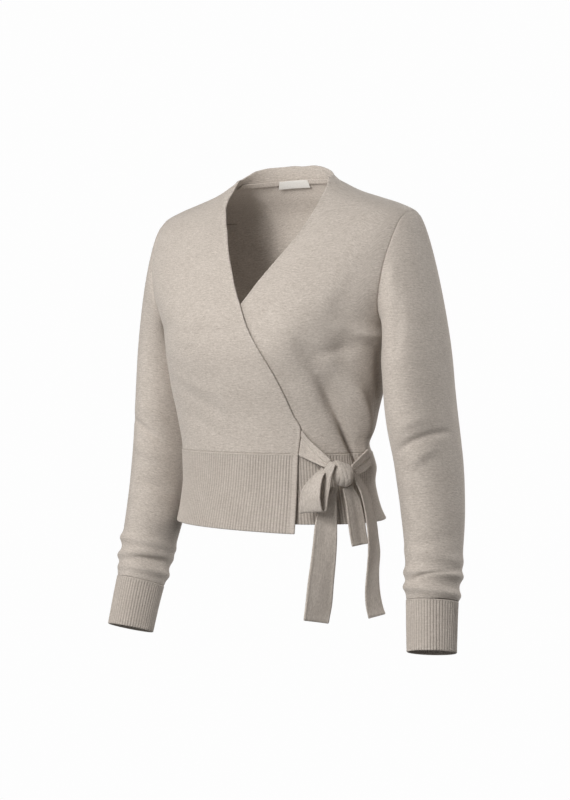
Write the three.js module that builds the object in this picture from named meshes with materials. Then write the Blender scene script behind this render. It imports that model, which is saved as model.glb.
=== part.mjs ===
// Wrap cardigan in fine-gauge knit, worn form, hollow.
// Millimetres. +Z up, +X the wearer's left, -Y the front. The origin is the centre of the
// neck base, on the line between the two neck ends of the shoulder seams.
import * as THREE from "three";

// ---------------------------------------------------------------- driving sizes
const WALL = 2.0; // one layer of the knit
const BAND_WALL = 2.4; // ribbed bands and cuffs
const LAYER = 3.4; // how far the wrapped front lies outside the one beneath it
const SEAM = 0.4; // gap between sewn pieces
const EDGE_BAND = 9; // width of the narrow band down each front edge
const Z_SHOULDER = -45; // shoulder point
const Z_ARMPIT = -196; // bottom of the armhole
const Z_RIB = -350; // top of the ribbed hem band
const TIE_WIDTH = 32;
const TIE_WALL = 2.6;
const DEG = Math.PI / 180;

// Sections of the worn body by height: half width, front and back depth, where the side lies
// front to back, and how square the section is.
const BODY = [
  // z, half, front, back, side, square
  { z: 26, half: 57, front: 30, back: 40, side: 8, square: 2.0 },
  { z: 10, half: 65, front: 30, back: 45, side: 8, square: 2.0 },
  { z: 2, half: 73, front: 31, back: 49, side: 8, square: 2.0 },
  { z: -5, half: 85, front: 33, back: 54, side: 9, square: 2.0 },
  { z: -15, half: 105, front: 36, back: 61, side: 10, square: 2.05 },
  { z: -25, half: 134, front: 40, back: 69, side: 10, square: 2.15 },
  { z: -34, half: 160, front: 46, back: 75, side: 10, square: 2.25 },
  { z: -45, half: 181, front: 54, back: 80, side: 9, square: 2.35 },
  { z: -62, half: 191, front: 67, back: 85, side: 8, square: 2.4 },
  { z: -100, half: 194, front: 91, back: 91, side: 4, square: 2.4 },
  { z: -140, half: 184, front: 107, back: 92, side: -3, square: 2.35 },
  { z: -172, half: 167, front: 116, back: 90, side: -9, square: 2.3 },
  { z: -196, half: 156, front: 120.5, back: 87, side: -13, square: 2.25 },
  { z: -225, half: 152, front: 122, back: 82, side: -17, square: 2.2 },
  { z: -265, half: 147, front: 117.5, back: 74, side: -20, square: 2.15 },
  { z: -305, half: 139, front: 109, back: 66, side: -22, square: 2.1 },
  { z: -350, half: 132, front: 104, back: 65, side: -21, square: 2.1 },
  { z: -385, half: 132, front: 103, back: 72, side: -18, square: 2.1 },
  { z: -420, half: 137, front: 105, back: 83, side: -15, square: 2.1 },
  { z: -470, half: 150, front: 110, back: 104, side: -12, square: 2.1 },
];
// How far out the armhole lies.
const ARMHOLE = [
  { z: -45, out: 180 },
  { z: -66, out: 175 },
  { z: -100, out: 170 },
  { z: -140, out: 164 },
  { z: -172, out: 158 },
  { z: -196, out: 156 },
];
// The free edge of the front that lies outside (wearer's right), as degrees round from centre front.
const RIGHT_EDGE = [
  { z: 26, turn: -82 },
  { z: 10, turn: -75 },
  { z: 2, turn: -69 },
  { z: -8, turn: -61 },
  { z: -24, turn: -54 },
  { z: -46, turn: -41 },
  { z: -72, turn: -27 },
  { z: -115, turn: -12.5 },
  { z: -143, turn: -5.5 },
  { z: -166, turn: 0.7 },
  { z: -195, turn: 8 },
  { z: -221, turn: 16 },
  { z: -253, turn: 26 },
  { z: -300, turn: 39 },
  { z: -321, turn: 44.5 },
  { z: -352, turn: 43 },
  { z: -396, turn: 40.5 },
  { z: -433, turn: 38 },
  { z: -470, turn: 36 },
];
// The edge of the front beneath (wearer's left).
const LEFT_EDGE = [
  { z: 26, turn: 90 },
  { z: 10, turn: 85 },
  { z: 1, turn: 78 },
  { z: -7, turn: 71 },
  { z: -30, turn: 56.5 },
  { z: -60, turn: 43 },
  { z: -86, turn: 32 },
  { z: -109, turn: 22 },
  { z: -136, turn: 10.7 },
  { z: -156, turn: 3.4 },
  { z: -166, turn: -0.3 },
  { z: -220, turn: -17 },
  { z: -270, turn: -29 },
  { z: -325, turn: -40 },
  { z: -350, turn: -43 },
  { z: -470, turn: -44 },
];
// Height of the neckband by turn, from the wearer's left round behind the neck to the right.
const NECK_STAND = [
  { turn: 76, high: 2.5 },
  { turn: 79, high: 3 },
  { turn: 85, high: 4.6 },
  { turn: 92, high: 6.8 },
  { turn: 110, high: 12.9 },
  { turn: 125, high: 16.7 },
  { turn: 140, high: 18.1 },
  { turn: 165, high: 17.2 },
  { turn: 190, high: 18.4 },
  { turn: 215, high: 18.3 },
  { turn: 237, high: 18.5 },
  { turn: 255, high: 15.7 },
  { turn: 265, high: 10.3 },
  { turn: 275, high: 5.8 },
  { turn: 285, high: 3 },
  { turn: 292, high: 2.5 },
];
// Hem height by turn: under the outer front, and under the rest.
const OUTER_HEM = [
  { turn: -90, z: -443 },
  { turn: 0, z: -446 },
  { turn: 30, z: -447 },
];
const INNER_HEM = [
  { turn: -90, z: -437 },
  { turn: 30, z: -436 },
  { turn: 90, z: -436 },
  { turn: 180, z: -439 },
  { turn: 270, z: -443 },
];
// Bust fullness on a general figure, and the large soft folds: ridges out, troughs in.
const FULLNESS = [
  { turn: -33, z: -202, round: 26, high: 50, out: 9 },
  { turn: 33, z: -202, round: 26, high: 50, out: 9 },
];
const BODY_FOLDS = [
  // from turn, z to turn, z; width and depth in mm
  { t0: 45, z0: -224, t1: 79, z1: -346, wide: 10, out: -8 },
  { t0: 60, z0: -236, t1: 90, z1: -328, wide: 11, out: 5 },
  { t0: 62, z0: -196, t1: 88, z1: -206, wide: 9, out: 6 },
  { t0: 88, z0: -338, t1: 130, z1: -340, wide: 11, out: -6 },
  { t0: 94, z0: -370, t1: 130, z1: -371, wide: 11, out: 3.5 },
  { t0: 98, z0: -446, t1: 130, z1: -447, wide: 18, out: 5 },
];
// Arm centre lines and the sleeve's half widths, side to side and front to back.
const LEFT_ARM = [
  { z: -240, x: 194.5, y: -10, half: 39, deep: 69 },
  { z: -300, x: 201.5, y: -13, half: 40, deep: 67 },
  { z: -360, x: 211.5, y: -14, half: 40, deep: 57 },
  { z: -420, x: 220, y: -21, half: 38, deep: 49 },
  { z: -465, x: 225, y: -30, half: 35, deep: 42 },
  { z: -513, x: 228, y: -41, half: 32, deep: 36 },
  { z: -550, x: 231, y: -50, half: 31, deep: 33 },
  { z: -587, x: 235, y: -60, half: 30, deep: 32 },
];
const RIGHT_ARM = [
  { z: -240, x: -187, y: 17, half: 37, deep: 61 },
  { z: -300, x: -187, y: 11, half: 38, deep: 59 },
  { z: -360, x: -186, y: 0, half: 38, deep: 54 },
  { z: -420, x: -186, y: -16, half: 37, deep: 48 },
  { z: -465, x: -188, y: -30, half: 35, deep: 43 },
  { z: -513, x: -191, y: -44, half: 32, deep: 36 },
  { z: -550, x: -194, y: -56, half: 31, deep: 33 },
  { z: -591, x: -196, y: -69, half: 30, deep: 32 },
];

// The bow's own frame: the middle of the knot, and the way it faces, turned from straight ahead to the
// wearer's left. u runs along the waist towards the wearer's back, w outwards, z up.
const KNOT = { x: 125, y: -84, z: -371, faces: 49 };
// Flat tie by its two long edges, a and b, a row per section along it.
const TIE_RIGHT = [
  { ua: -41.4, za: 49.6, wa: -27.4, ub: -43.5, zb: 19.9, wb: -31.4 },
  { ua: -33.7, za: 39.1, wa: -23.0, ub: -35.7, zb: 15.6, wb: -24.6 },
  { ua: -23.8, za: 26.6, wa: -12, ub: -28.3, zb: 11.1, wb: -14 },
  { ua: -14, za: 15.8, wa: -3.5, ub: -19.6, zb: 6.2, wb: -4.5 },
];
const TIE_LEFT = [
  { ua: 46.6, za: 25.5, wa: -26.5, ub: 54.2, zb: 5.4, wb: -32.2 },
  { ua: 35.3, za: 18.5, wa: -20, ub: 43.7, zb: -0.2, wb: -24.5 },
  { ua: 22.3, za: 11.4, wa: -10, ub: 28.5, zb: -4.3, wb: -13 },
  { ua: 15.4, za: 7.8, wa: -4, ub: 17.1, zb: -5.5, wb: -5 },
];
const LOOP = [
  // down the front layer
  { ua: -26.1, za: 5.8, wa: -1, ub: -21.6, zb: 1, wb: 3 },
  { ua: -38.1, za: -4.3, wa: -2, ub: -29, zb: -3.3, wb: 9 },
  { ua: -49, za: -18.9, wa: -5, ub: -34.4, zb: -16.3, wb: 13.5 },
  { ua: -52.2, za: -32, wa: -6.5, ub: -35.6, zb: -28.4, wb: 14.5 },
  { ua: -51.9, za: -43.6, wa: -8, ub: -33.2, zb: -39.6, wb: 13 },
  // round the bend and up the layer behind
  { ua: -51, za: -49.4, wa: -10.5, ub: -29.9, zb: -46.6, wb: 11 },
  { ua: -47, za: -48.6, wa: -13, ub: -24.6, zb: -46.6, wb: 8 },
  { ua: -40.6, za: -38.4, wa: -12.5, ub: -21.9, zb: -33.2, wb: 7.5 },
  { ua: -31.7, za: -23.3, wa: -9, ub: -19.4, zb: -18, wb: 9 },
  { ua: -25.1, za: -7.3, wa: -4, ub: -17.4, zb: -4.3, wb: 10 },
  { ua: -22.9, za: 5.7, wa: 3, ub: -15.5, zb: 2.3, wb: 12 },
  { ua: -17.9, za: 13.6, wa: 8, ub: -13.8, zb: 9.9, wb: 12 },
];
const TAIL_LEFT = [
  { ua: -12.1, za: -19.1, wa: -8, ub: -3.2, zb: -21.1, wb: -7 },
  { ua: -17.7, za: -28.3, wa: -9, ub: -4.1, zb: -31.1, wb: -8 },
  { ua: -25, za: -42.8, wa: -9, ub: -3.3, zb: -47.2, wb: -8 },
  { ua: -30.7, za: -61.8, wa: -8, ub: -3.8, zb: -63, wb: -6 },
  { ua: -34.8, za: -88.9, wa: -6, ub: -4.5, zb: -90.1, wb: -5 },
  { ua: -38.9, za: -113.1, wa: -4, ub: -6.7, zb: -114.6, wb: -4 },
  { ua: -42.6, za: -134.9, wa: -3, ub: -8.9, zb: -136.8, wb: -4 },
  { ua: -45.9, za: -160.3, wa: -2, ub: -11.3, zb: -163.8, wb: -4 },
  { ua: -48.9, za: -179.6, wa: -1, ub: -15.8, zb: -185.8, wb: -4 },
];
const TAIL_RIGHT = [
  { ua: 14.4, za: -4.2, wa: 3, ub: 17.4, zb: 0.4, wb: 0 },
  { ua: 17.5, za: -11.6, wa: 4, ub: 27, zb: -8.2, wb: -4 },
  { ua: 23.8, za: -24.1, wa: 5, ub: 40.6, zb: -22.9, wb: -13 },
  { ua: 29, za: -42.2, wa: 5, ub: 49.3, zb: -43.6, wb: -17 },
  { ua: 32.5, za: -62, wa: 5, ub: 55.3, zb: -64.6, wb: -18 },
  { ua: 34.5, za: -79.4, wa: 5, ub: 57.3, zb: -82.8, wb: -17 },
  { ua: 35, za: -99.2, wa: 5, ub: 59.3, zb: -102.9, wb: -16 },
  { ua: 33.6, za: -122.8, wa: 4, ub: 57.9, zb: -126.8, wb: -16 },
  { ua: 32, za: -145.2, wa: 3, ub: 58.6, zb: -149.4, wb: -15 },
  { ua: 33, za: -164.2, wa: 2, ub: 61.2, zb: -168.1, wb: -13 },
  { ua: 36.8, za: -182, wa: 1, ub: 64, zb: -179.9, wb: -11 },
];
const SHORT_END = [
  { ua: 4, za: -21.5, wa: -4, ub: 16.3, zb: -17.8, wb: -4 },
  { ua: 8, za: -36.2, wa: -5, ub: 27.6, zb: -33.3, wb: -8 },
  { ua: 11.2, za: -57.3, wa: -5, ub: 35, zb: -56.3, wb: -11 },
  { ua: 13.9, za: -76, wa: -5, ub: 37.8, zb: -75.1, wb: -11 },
  { ua: 16.9, za: -92.3, wa: -5, ub: 40.1, zb: -89.9, wb: -10 },
];
// The tie wrapped round itself: sections along u, their middle and half sizes.
const KNOT_SECTIONS = [
  { u: -12.5, z: 4, high: 4, w: 1, deep: 4 },
  { u: -10.5, z: 2.5, high: 9.5, w: 1, deep: 8 },
  { u: -6.5, z: -0.5, high: 13.2, w: 0.5, deep: 12 },
  { u: -1, z: -3.4, high: 14, w: 0, deep: 14 },
  { u: 4, z: -5, high: 13.8, w: 0, deep: 14 },
  { u: 8.5, z: -4.4, high: 11.6, w: 0, deep: 12 },
  { u: 11.5, z: -3, high: 7.4, w: 0, deep: 8 },
  { u: 12.7, z: -2.5, high: 3.5, w: 0, deep: 4 },
];

// ---------------------------------------------------------------- curves through a table
// A smooth curve through the rows of a table, by one column, read by another.
function through(table, by, read) {
  const rows = [...table].sort((p, q) => p[by] - q[by]);
  const x = rows.map((r) => r[by]), y = rows.map((r) => r[read]), n = x.length;
  const d = x.slice(1).map((v, i) => (y[i + 1] - y[i]) / (v - x[i]));
  const m = x.map((_, i) => {
    if (i === 0) return d[0];
    if (i === n - 1) return d[n - 2];
    if (d[i - 1] * d[i] <= 0) return 0;
    const a = x[i] - x[i - 1], b = x[i + 1] - x[i];
    return (3 * (a + b)) / ((2 * b + a) / d[i - 1] + (b + 2 * a) / d[i]);
  });
  return (v) => {
    if (v <= x[0]) return y[0] + m[0] * (v - x[0]);
    if (v >= x[n - 1]) return y[n - 1] + m[n - 1] * (v - x[n - 1]);
    let i = 0;
    while (v > x[i + 1]) i++;
    const h = x[i + 1] - x[i], t = (v - x[i]) / h, t2 = t * t, t3 = t2 * t;
    return (
      y[i] * (2 * t3 - 3 * t2 + 1) + h * m[i] * (t3 - 2 * t2 + t) +
      y[i + 1] * (-2 * t3 + 3 * t2) + h * m[i + 1] * (t3 - t2)
    );
  };
}
const ease = (t) => { t = Math.min(1, Math.max(0, t)); return t * t * (3 - 2 * t); };
const mix = (a, b, t) => a + (b - a) * t;

const half = through(BODY, "z", "half"), front = through(BODY, "z", "front"), back = through(BODY, "z", "back");
const side = through(BODY, "z", "side"), square = through(BODY, "z", "square");
const armOut = through(ARMHOLE, "z", "out");
const rightEdge = through(RIGHT_EDGE, "z", "turn"), leftEdge = through(LEFT_EDGE, "z", "turn");
const outerHem = through(OUTER_HEM, "turn", "z"), innerHem = through(INNER_HEM, "turn", "z");
const neckStand = through(NECK_STAND, "turn", "high");

// ---------------------------------------------------------------- the body's surface
function foldOut(turn, z) {
  let out = 0;
  for (const f of FULLNESS)
    out += f.out * Math.exp(-(((turn - f.turn) / f.round) ** 2) - ((z - f.z) / f.high) ** 2);
  const k = 2.3; // mm to a degree
  for (const f of BODY_FOLDS) {
    const ax = f.t0 * k, ay = f.z0, bx = f.t1 * k, by = f.z1, px = turn * k, py = z;
    const dx = bx - ax, dy = by - ay, L = Math.hypot(dx, dy);
    const s = ((px - ax) * dx + (py - ay) * dy) / (L * L);
    const off = Math.abs((px - ax) * dy - (py - ay) * dx) / L;
    const end = s < 0 ? -s * L : s > 1 ? (s - 1) * L : 0;
    out += f.out * Math.exp(-((off / f.wide) ** 2)) * Math.exp(-((end / (f.wide * 1.6)) ** 2)) *
      mix(0.55, 1, Math.sin(Math.PI * Math.min(1, Math.max(0, s))));
  }
  return out;
}
// A point of the body's outer surface, turned round from centre front towards the wearer's left.
function place(turn, z, out = 0) {
  while (turn > 270) turn -= 360;
  const a = half(z), c = side(z), n = square(z);
  const deep = Math.abs(turn) < 90 ? front(z) + c : back(z) - c;
  const s = Math.abs(Math.sin(turn * DEG)), k = Math.abs(Math.cos(turn * DEG));
  const r = ((s / a) ** n + (k / deep) ** n) ** (-1 / n) + out + foldOut(turn, z);
  return new THREE.Vector3(r * Math.sin(turn * DEG), c - r * Math.cos(turn * DEG), z);
}
// The same point, with the way the surface faces there kept in .n; lift is how far out it lies.
const flat = () => 0;
function body(turn, z, lift = flat) {
  const at = (t, h) => place(t, h, lift(t, h));
  const p = at(turn, z);
  const u = at(turn + 0.4, z).sub(at(turn - 0.4, z)), v = at(turn, z + 0.8).sub(at(turn, z - 0.8));
  p.n = u.cross(v).normalize();
  return p;
}
// The turn at which the body's surface is as far out as the armhole, in front or behind.
function armTurn(z, behind) {
  const x = armOut(z), a = half(z), c = side(z), n = square(z);
  const deep = behind ? back(z) - c : front(z) + c;
  const y = deep * Math.max(0, 1 - Math.min(1, x / a) ** n) ** (1 / n);
  const t = Math.atan2(x, y) / DEG;
  return behind ? 180 - t : t;
}
// Columns between two turns, closer together where the section bends most, at its sides.
const OBLONG = 1.5;
function even(t, ratio) {
  const e = Math.atan2(Math.sin(t * DEG) * ratio, Math.cos(t * DEG)) / DEG;
  return e + 360 * Math.round((t - e) / 360);
}
const between = (t0, t1, k) => even(mix(even(t0, 1 / OBLONG), even(t1, 1 / OBLONG), k), OBLONG);
// Heights of the rows: below the armhole, beside it and up to the neck.
const LOW_ROWS = 8, ARM_ROWS = 9, TOP_ROWS = 5;
const zArm = (i) => mix(Z_ARMPIT, Z_SHOULDER, (1 - Math.cos((Math.PI * i) / ARM_ROWS)) / 2);
function rowsFrom(z0) {
  const rows = [];
  for (let i = 0; i < LOW_ROWS; i++) rows.push(mix(z0, Z_ARMPIT, i / LOW_ROWS));
  for (let i = 0; i < ARM_ROWS; i++) rows.push(zArm(i));
  for (let i = 0; i <= TOP_ROWS; i++) rows.push(mix(Z_SHOULDER, 0, i / TOP_ROWS));
  return rows;
}
// Where a front or the back ends at its side: side seam, armhole, shoulder seam.
function sideTurn(z, behind) {
  if (z <= Z_ARMPIT || z >= Z_SHOULDER) return 90;
  return armTurn(z, behind);
}

// ---------------------------------------------------------------- solids
// A closed wall from rows of outer points: their normals give the inner face.
function wall(rows, thick, closed = false) {
  const R = rows.length, C = rows[0].length;
  const at = (i, j) => rows[Math.min(R - 1, Math.max(0, i))][closed ? (j + C) % C : Math.min(C - 1, Math.max(0, j))];
  const inner = rows.map((row, i) => row.map((p, j) => {
    const u = at(i, j + 1).clone().sub(at(i, j - 1)), v = at(i + 1, j).clone().sub(at(i - 1, j));
    const t = typeof thick === "function" ? thick(i, j) : thick;
    return p.clone().addScaledVector(p.n ?? u.cross(v).normalize(), -t);
  }));
  const pos = [];
  for (const g of [rows, inner]) for (const row of g) for (const p of row) pos.push(p.x, p.y, p.z);
  const o = (i, j) => i * C + (closed ? j % C : j), n = (i, j) => R * C + o(i, j);
  const idx = [];
  const quad = (a, b, c, d) => idx.push(a, b, c, a, c, d);
  const last = closed ? C : C - 1;
  for (let i = 0; i < R - 1; i++) for (let j = 0; j < last; j++) {
    quad(o(i, j), o(i, j + 1), o(i + 1, j + 1), o(i + 1, j));
    quad(n(i, j), n(i + 1, j), n(i + 1, j + 1), n(i, j + 1));
  }
  for (let j = 0; j < last; j++) {
    quad(o(0, j), n(0, j), n(0, j + 1), o(0, j + 1));
    quad(o(R - 1, j), o(R - 1, j + 1), n(R - 1, j + 1), n(R - 1, j));
  }
  if (!closed) for (let i = 0; i < R - 1; i++) {
    quad(o(i, 0), o(i + 1, 0), n(i + 1, 0), n(i, 0));
    quad(o(i, C - 1), n(i, C - 1), n(i + 1, C - 1), o(i + 1, C - 1));
  }
  const g = new THREE.BufferGeometry();
  g.setAttribute("position", new THREE.Float32BufferAttribute(pos, 3));
  g.setIndex(idx);
  g.computeVertexNormals();
  return g;
}
const knit = (r, g, b) => new THREE.MeshStandardMaterial({ color: new THREE.Color(r, g, b), roughness: 0.9, metalness: 0 });
const cardigan = new THREE.Group();
function add(name, geometry, material) {
  const m = new THREE.Mesh(geometry, material);
  m.name = name;
  cardigan.add(m);
  return m;
}
const JERSEY = knit(0.55, 0.5, 0.45), RIB = knit(0.53, 0.48, 0.43), TAPE = knit(0.8, 0.8, 0.77);

// ---------------------------------------------------------------- body panels
const gapTurn = 0.11; // half of a seam's gap, in degrees round the body
// The wrapped front lies outside the one beneath, and comes down to it at its own side seam.
const outerLift = (turn) => LAYER * ease((turn + 84) / 34);
// The narrow band's width round the body at a height, in degrees.
function bandTurn(edge, z) {
  const t = edge(z), p = body(t, z), q = body(t, z - 2), r = body(t + 1, z);
  const round = p.distanceTo(r), slope = ((edge(z) - edge(z - 2)) * round) / p.distanceTo(q);
  return (EDGE_BAND * Math.hypot(1, slope)) / round;
}
const BACK_COLS = 13;
const backRise = (turn, z) => 6.2 * ease((z + 40) / 40) * Math.max(0, Math.sin(Math.min(1, Math.max(0, (turn - 90) / 180)) * Math.PI)) ** 0.55;

// How a front's rows run: from its side to the seam of its edge band.
function frontRows(who, rows, lift) {
  const COLS = 12;
  return rows.map((z, i) => {
    const s = (sideTurn(z, false) - gapTurn) * (who === "left" ? 1 : -1);
    const edge = who === "left" ? leftEdge : rightEdge;
    const e = edge(z) + (who === "left" ? 1 : -1) * (bandTurn(edge, z) + gapTurn * 2);
    const row = [];
    for (let j = 0; j < COLS; j++) {
      const k = j / (COLS - 1), t = who === "left" ? between(e, s, k) : between(s, e, k);
      row.push(body(t, z, lift));
    }
    return row;
  });
}
const bandTop = Z_RIB + SEAM / 2;
const rightRows = rowsFrom(bandTop), leftRows = rowsFrom(bandTop);
rightRows[rightRows.length - 1] -= SEAM; leftRows[leftRows.length - 1] -= SEAM;
add("right_front", wall(frontRows("right", rightRows, outerLift), WALL), JERSEY);
add("left_front", wall(frontRows("left", leftRows, flat), WALL), JERSEY);
{
  const grid = rowsFrom(bandTop).map((z, i, all) => {
    const s = sideTurn(z, true) + gapTurn, row = [];
    for (let j = 0; j < BACK_COLS; j++) {
      const t = between(s, 360 - s, j / (BACK_COLS - 1));
      const zz = z + backRise(t, z) - (i === all.length - 1 ? SEAM : 0);
      row.push(body(t, zz));
    }
    return row;
  });
  add("back", wall(grid, WALL), JERSEY);
}

// ---------------------------------------------------------------- ribbed hem
function hemRows(from, to, cols, hem, lift) {
  const rows = 4, top = Z_RIB - SEAM / 2, grid = [];
  for (let i = 0; i < rows; i++) {
    const row = [], high = mix(hem(0), top, i / (rows - 1));
    for (let j = 0; j < cols; j++) {
      const t = between(from(high), to(high), j / (cols - 1)), z = mix(hem(t), top, i / (rows - 1));
      row.push(body(t, z, (tt, zz) => lift(tt, zz) + 0.4));
    }
    grid.push(row);
  }
  return grid;
}
const hang = (t, z) => outerLift(t) + 4 * ease((t - 10) / 30) * ease((Z_RIB - z) / 100);
const at = (turn) => () => turn;
add("right_front_hem", wall(hemRows(at(-90 + gapTurn), rightEdge, 18, outerHem, hang), BAND_WALL), RIB);
add("left_front_hem", wall(hemRows(leftEdge, at(90 - gapTurn), 17, innerHem, flat), BAND_WALL), RIB);
add("back_hem", wall(hemRows(at(90 + gapTurn), at(270 - gapTurn), 19, innerHem, flat), BAND_WALL), RIB);

// ---------------------------------------------------------------- neckband
function edgeBand(who, zs, lift) {
  const edge = who === "left" ? leftEdge : rightEdge, sgn = who === "left" ? 1 : -1, COLS = 3;
  return zs.map((z) => {
    const w = bandTurn(edge, z), row = [];
    for (let j = 0; j < COLS; j++) {
      // the top end slopes up to its free edge, under the neckband's end
      const k = j / (COLS - 1), h = z + 2.5 * (who === "left" ? 1 - k : k) * ease((z + 8) / 8);
      const e = edge(h), t = who === "left" ? mix(e, e + w, k) : mix(e - w, e, k);
      row.push(body(t, h, (tt, zz) => lift(tt, zz) + 0.3));
    }
    return row;
  });
}
add("right_edge_band", wall(edgeBand("right", rightRows, outerLift), BAND_WALL), JERSEY);
add("left_edge_band", wall(edgeBand("left", leftRows, flat), BAND_WALL), JERSEY);
{
  // From the wearer's left front round behind the neck to the right front. Its ends are as wide as the bands
  // down the front edges, and it stands highest behind the neck.
  const rows = 4, grid = [], ends = 3;
  const seamL = leftEdge(0) + bandTurn(leftEdge, 0), seamR = 360 + rightEdge(0) - bandTurn(rightEdge, 0);
  const b0 = 90 + gapTurn, b1 = 270 - gapTurn;
  for (let i = 0; i < rows; i++) {
    const w = i / (rows - 1), row = [], t0 = mix(seamL, leftEdge(2), w), t1 = mix(seamR, 360 + rightEdge(2), w), turns = [];
    for (let j = 0; j < ends; j++) turns.push(mix(t0, b0, j / ends));
    for (let j = 0; j < BACK_COLS; j++) turns.push(between(b0, b1, j / (BACK_COLS - 1)));
    for (let j = 1; j <= ends; j++) turns.push(mix(b1, t1, j / ends));
    for (const t of turns) {
      const stand = neckStand(t);
      const z = SEAM + stand * w + (t > 90 && t < 270 ? backRise(t, 0) : 0);
      row.push(body(t, z, (tt) => (tt > 270 ? outerLift(tt - 360) : 0) + 0.3));
    }
    grid.push(row);
  }
  add("neckband", wall(grid, BAND_WALL), JERSEY);
  // Inside: the covered seam under the band, and the label hung from it.
  const strip = (t0, t1, n, high, low, deep, thick) => wall([low, high].map((z) =>
    Array.from({ length: n }, (_, j) => {
      const t = between(t0, t1, j / (n - 1));
      const p = body(t, z + backRise(t, 0));
      return Object.assign(p.clone().addScaledVector(p.n, -deep), { n: p.n });
    })), thick);
  add("neck_tape", strip(96, 264, 19, 0.6, -3.6, WALL + 1.1, 1.5), JERSEY);
  add("label", strip(158, 219, 9, 0.6, -8.6, WALL + 1.1 + 1.5 + 0.9, 1), TAPE);
}

// ---------------------------------------------------------------- sleeves
const SLEEVE_ROUND = 18; // twice ARM_ROWS, so the sleeve's first ring meets the panels' rows
function arm(table) {
  const pts = table.map((r) => new THREE.Vector3(r.x, r.y, r.z));
  const line = new THREE.CatmullRomCurve3(pts, false, "centripetal");
  line.arcLengthDivisions = 400;
  const len = [0];
  for (let i = 1; i < pts.length; i++) len.push(len[i - 1] + pts[i].distanceTo(pts[i - 1]));
  const total = len[len.length - 1];
  const by = table.map((r, i) => ({ s: len[i] / total, half: r.half, deep: r.deep }));
  return { at: (s) => line.getPointAt(s), way: (s) => line.getTangentAt(s), half: through(by, "s", "half"), deep: through(by, "s", "deep"), total };
}
// Rolls of cloth pushed up above the cuff: where along the arm, how far out, how long, and which side is fullest.
const ROLLS = {
  left: [
    { s: 0.794, out: 4.4, long: 0.016, full: 100, lean: 0.012 },
    { s: 0.737, out: 4.6, long: 0.018, full: 40, lean: 0.002 },
    { s: 0.672, out: 2.2, long: 0.022, full: 20, lean: 0.02 },
  ],
  right: [
    { s: 0.789, out: 3.6, long: 0.016, full: 180, lean: 0.004 },
    { s: 0.737, out: 4.8, long: 0.018, full: 30, lean: 0.014 },
    { s: 0.685, out: 4, long: 0.018, full: 60, lean: -0.004 },
  ],
};
const CUFF_TOP = 0.826; // where along the arm the cuff starts
function armRing(a, sgn, s, k, out) {
  // k is the turn round the arm: 0 outside, 90 in front, 180 against the body
  const c = a.at(s), w = a.way(s), u = new THREE.Vector3(sgn, 0, 0);
  u.addScaledVector(w, -u.dot(w)).normalize();
  const v = new THREE.Vector3().crossVectors(w, u).multiplyScalar(sgn);
  if (v.y > 0) v.negate();
  return c.clone().addScaledVector(u, (a.half(s) + out) * Math.cos(k * DEG)).addScaledVector(v, (a.deep(s) + out) * Math.sin(k * DEG));
}
function rolls(who, s, k) {
  let out = 0;
  for (const r of ROLLS[who]) out += r.out * Math.exp(-(((s - r.s - r.lean * Math.cos(k * DEG)) / r.long) ** 2)) * mix(0.55, 1, (1 + Math.cos((k - r.full) * DEG)) / 2);
  return out;
}
function armholePoint(sgn, k) {
  // k: 0 the shoulder point, 90 in front, 180 the armpit, 270 behind
  const z = mix(Z_SHOULDER, Z_ARMPIT, (1 - Math.cos(k * DEG)) / 2);
  const t = k === 0 || k === 180 ? 90 : armTurn(z, k > 180);
  const p = body(t, z);
  // The wall turns over from the body's own facing to the fold under the arm.
  const kk = k > 180 ? 360 - k : k;
  p.n.lerp(new THREE.Vector3(-0.75, 0, -0.65), ease((kk - 110) / 60)).normalize();
  p.n.x *= sgn;
  p.x = sgn * (p.x + 1.0);
  return p;
}
function sleeveRows(who, table) {
  const sgn = who === "left" ? 1 : -1, a = arm(table), N = SLEEVE_ROUND, rows = [];
  const CAP = 7, s1 = 0.0;
  const ks = Array.from({ length: N }, (_, j) => (360 * j) / N);
  for (let i = 0; i <= CAP; i++) {
    const t = i / CAP;
    rows.push(ks.map((k) => {
      const p0 = armholePoint(sgn, k), p1 = armRing(a, sgn, s1, k, 0);
      const L = p0.distanceTo(p1), low = (1 - Math.cos(k * DEG)) / 2;
      const d0 = new THREE.Vector3(sgn, -0.12 * Math.sin(k * DEG), -mix(1, 1.35, low)).normalize();
      const d1 = a.way(s1);
      const t2 = t * t, t3 = t2 * t, m0 = L * mix(who === "left" ? 0.28 : 0.34, 0.8, low), m1 = L * 0.85;
      if (i === 0) return p0;
      return p0.multiplyScalar(2 * t3 - 3 * t2 + 1).addScaledVector(d0, m0 * (t3 - 2 * t2 + t))
        .addScaledVector(p1, -2 * t3 + 3 * t2).addScaledVector(d1, m1 * (t3 - t2));
    }));
  }
  const marks = [0.15, 0.3, 0.45, 0.57, 0.64, 0.67, 0.697, 0.722, 0.748, 0.774, 0.8, CUFF_TOP - 0.001];
  for (const s of marks) rows.push(ks.map((k) => armRing(a, sgn, s, k, rolls(who, s, k))));
  return { rows, a, sgn, ks };
}
for (const [who, table] of [["left", LEFT_ARM], ["right", RIGHT_ARM]]) {
  const { rows, a, sgn, ks } = sleeveRows(who, table);
  const turned = who === "left" ? rows.map((r) => r) : rows.map((r) => [...r].reverse());
  add(who + "_sleeve", wall(turned, WALL, true), JERSEY);
  const cuff = [];
  for (let i = 0; i <= 3; i++) {
    const s = mix(CUFF_TOP + 0.0015, 1, i / 3);
    cuff.push(ks.map((k) => armRing(a, sgn, s, k, 0)));
  }
  add(who + "_cuff", wall(who === "left" ? cuff : cuff.map((r) => [...r].reverse()), BAND_WALL, true), RIB);
}

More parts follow.
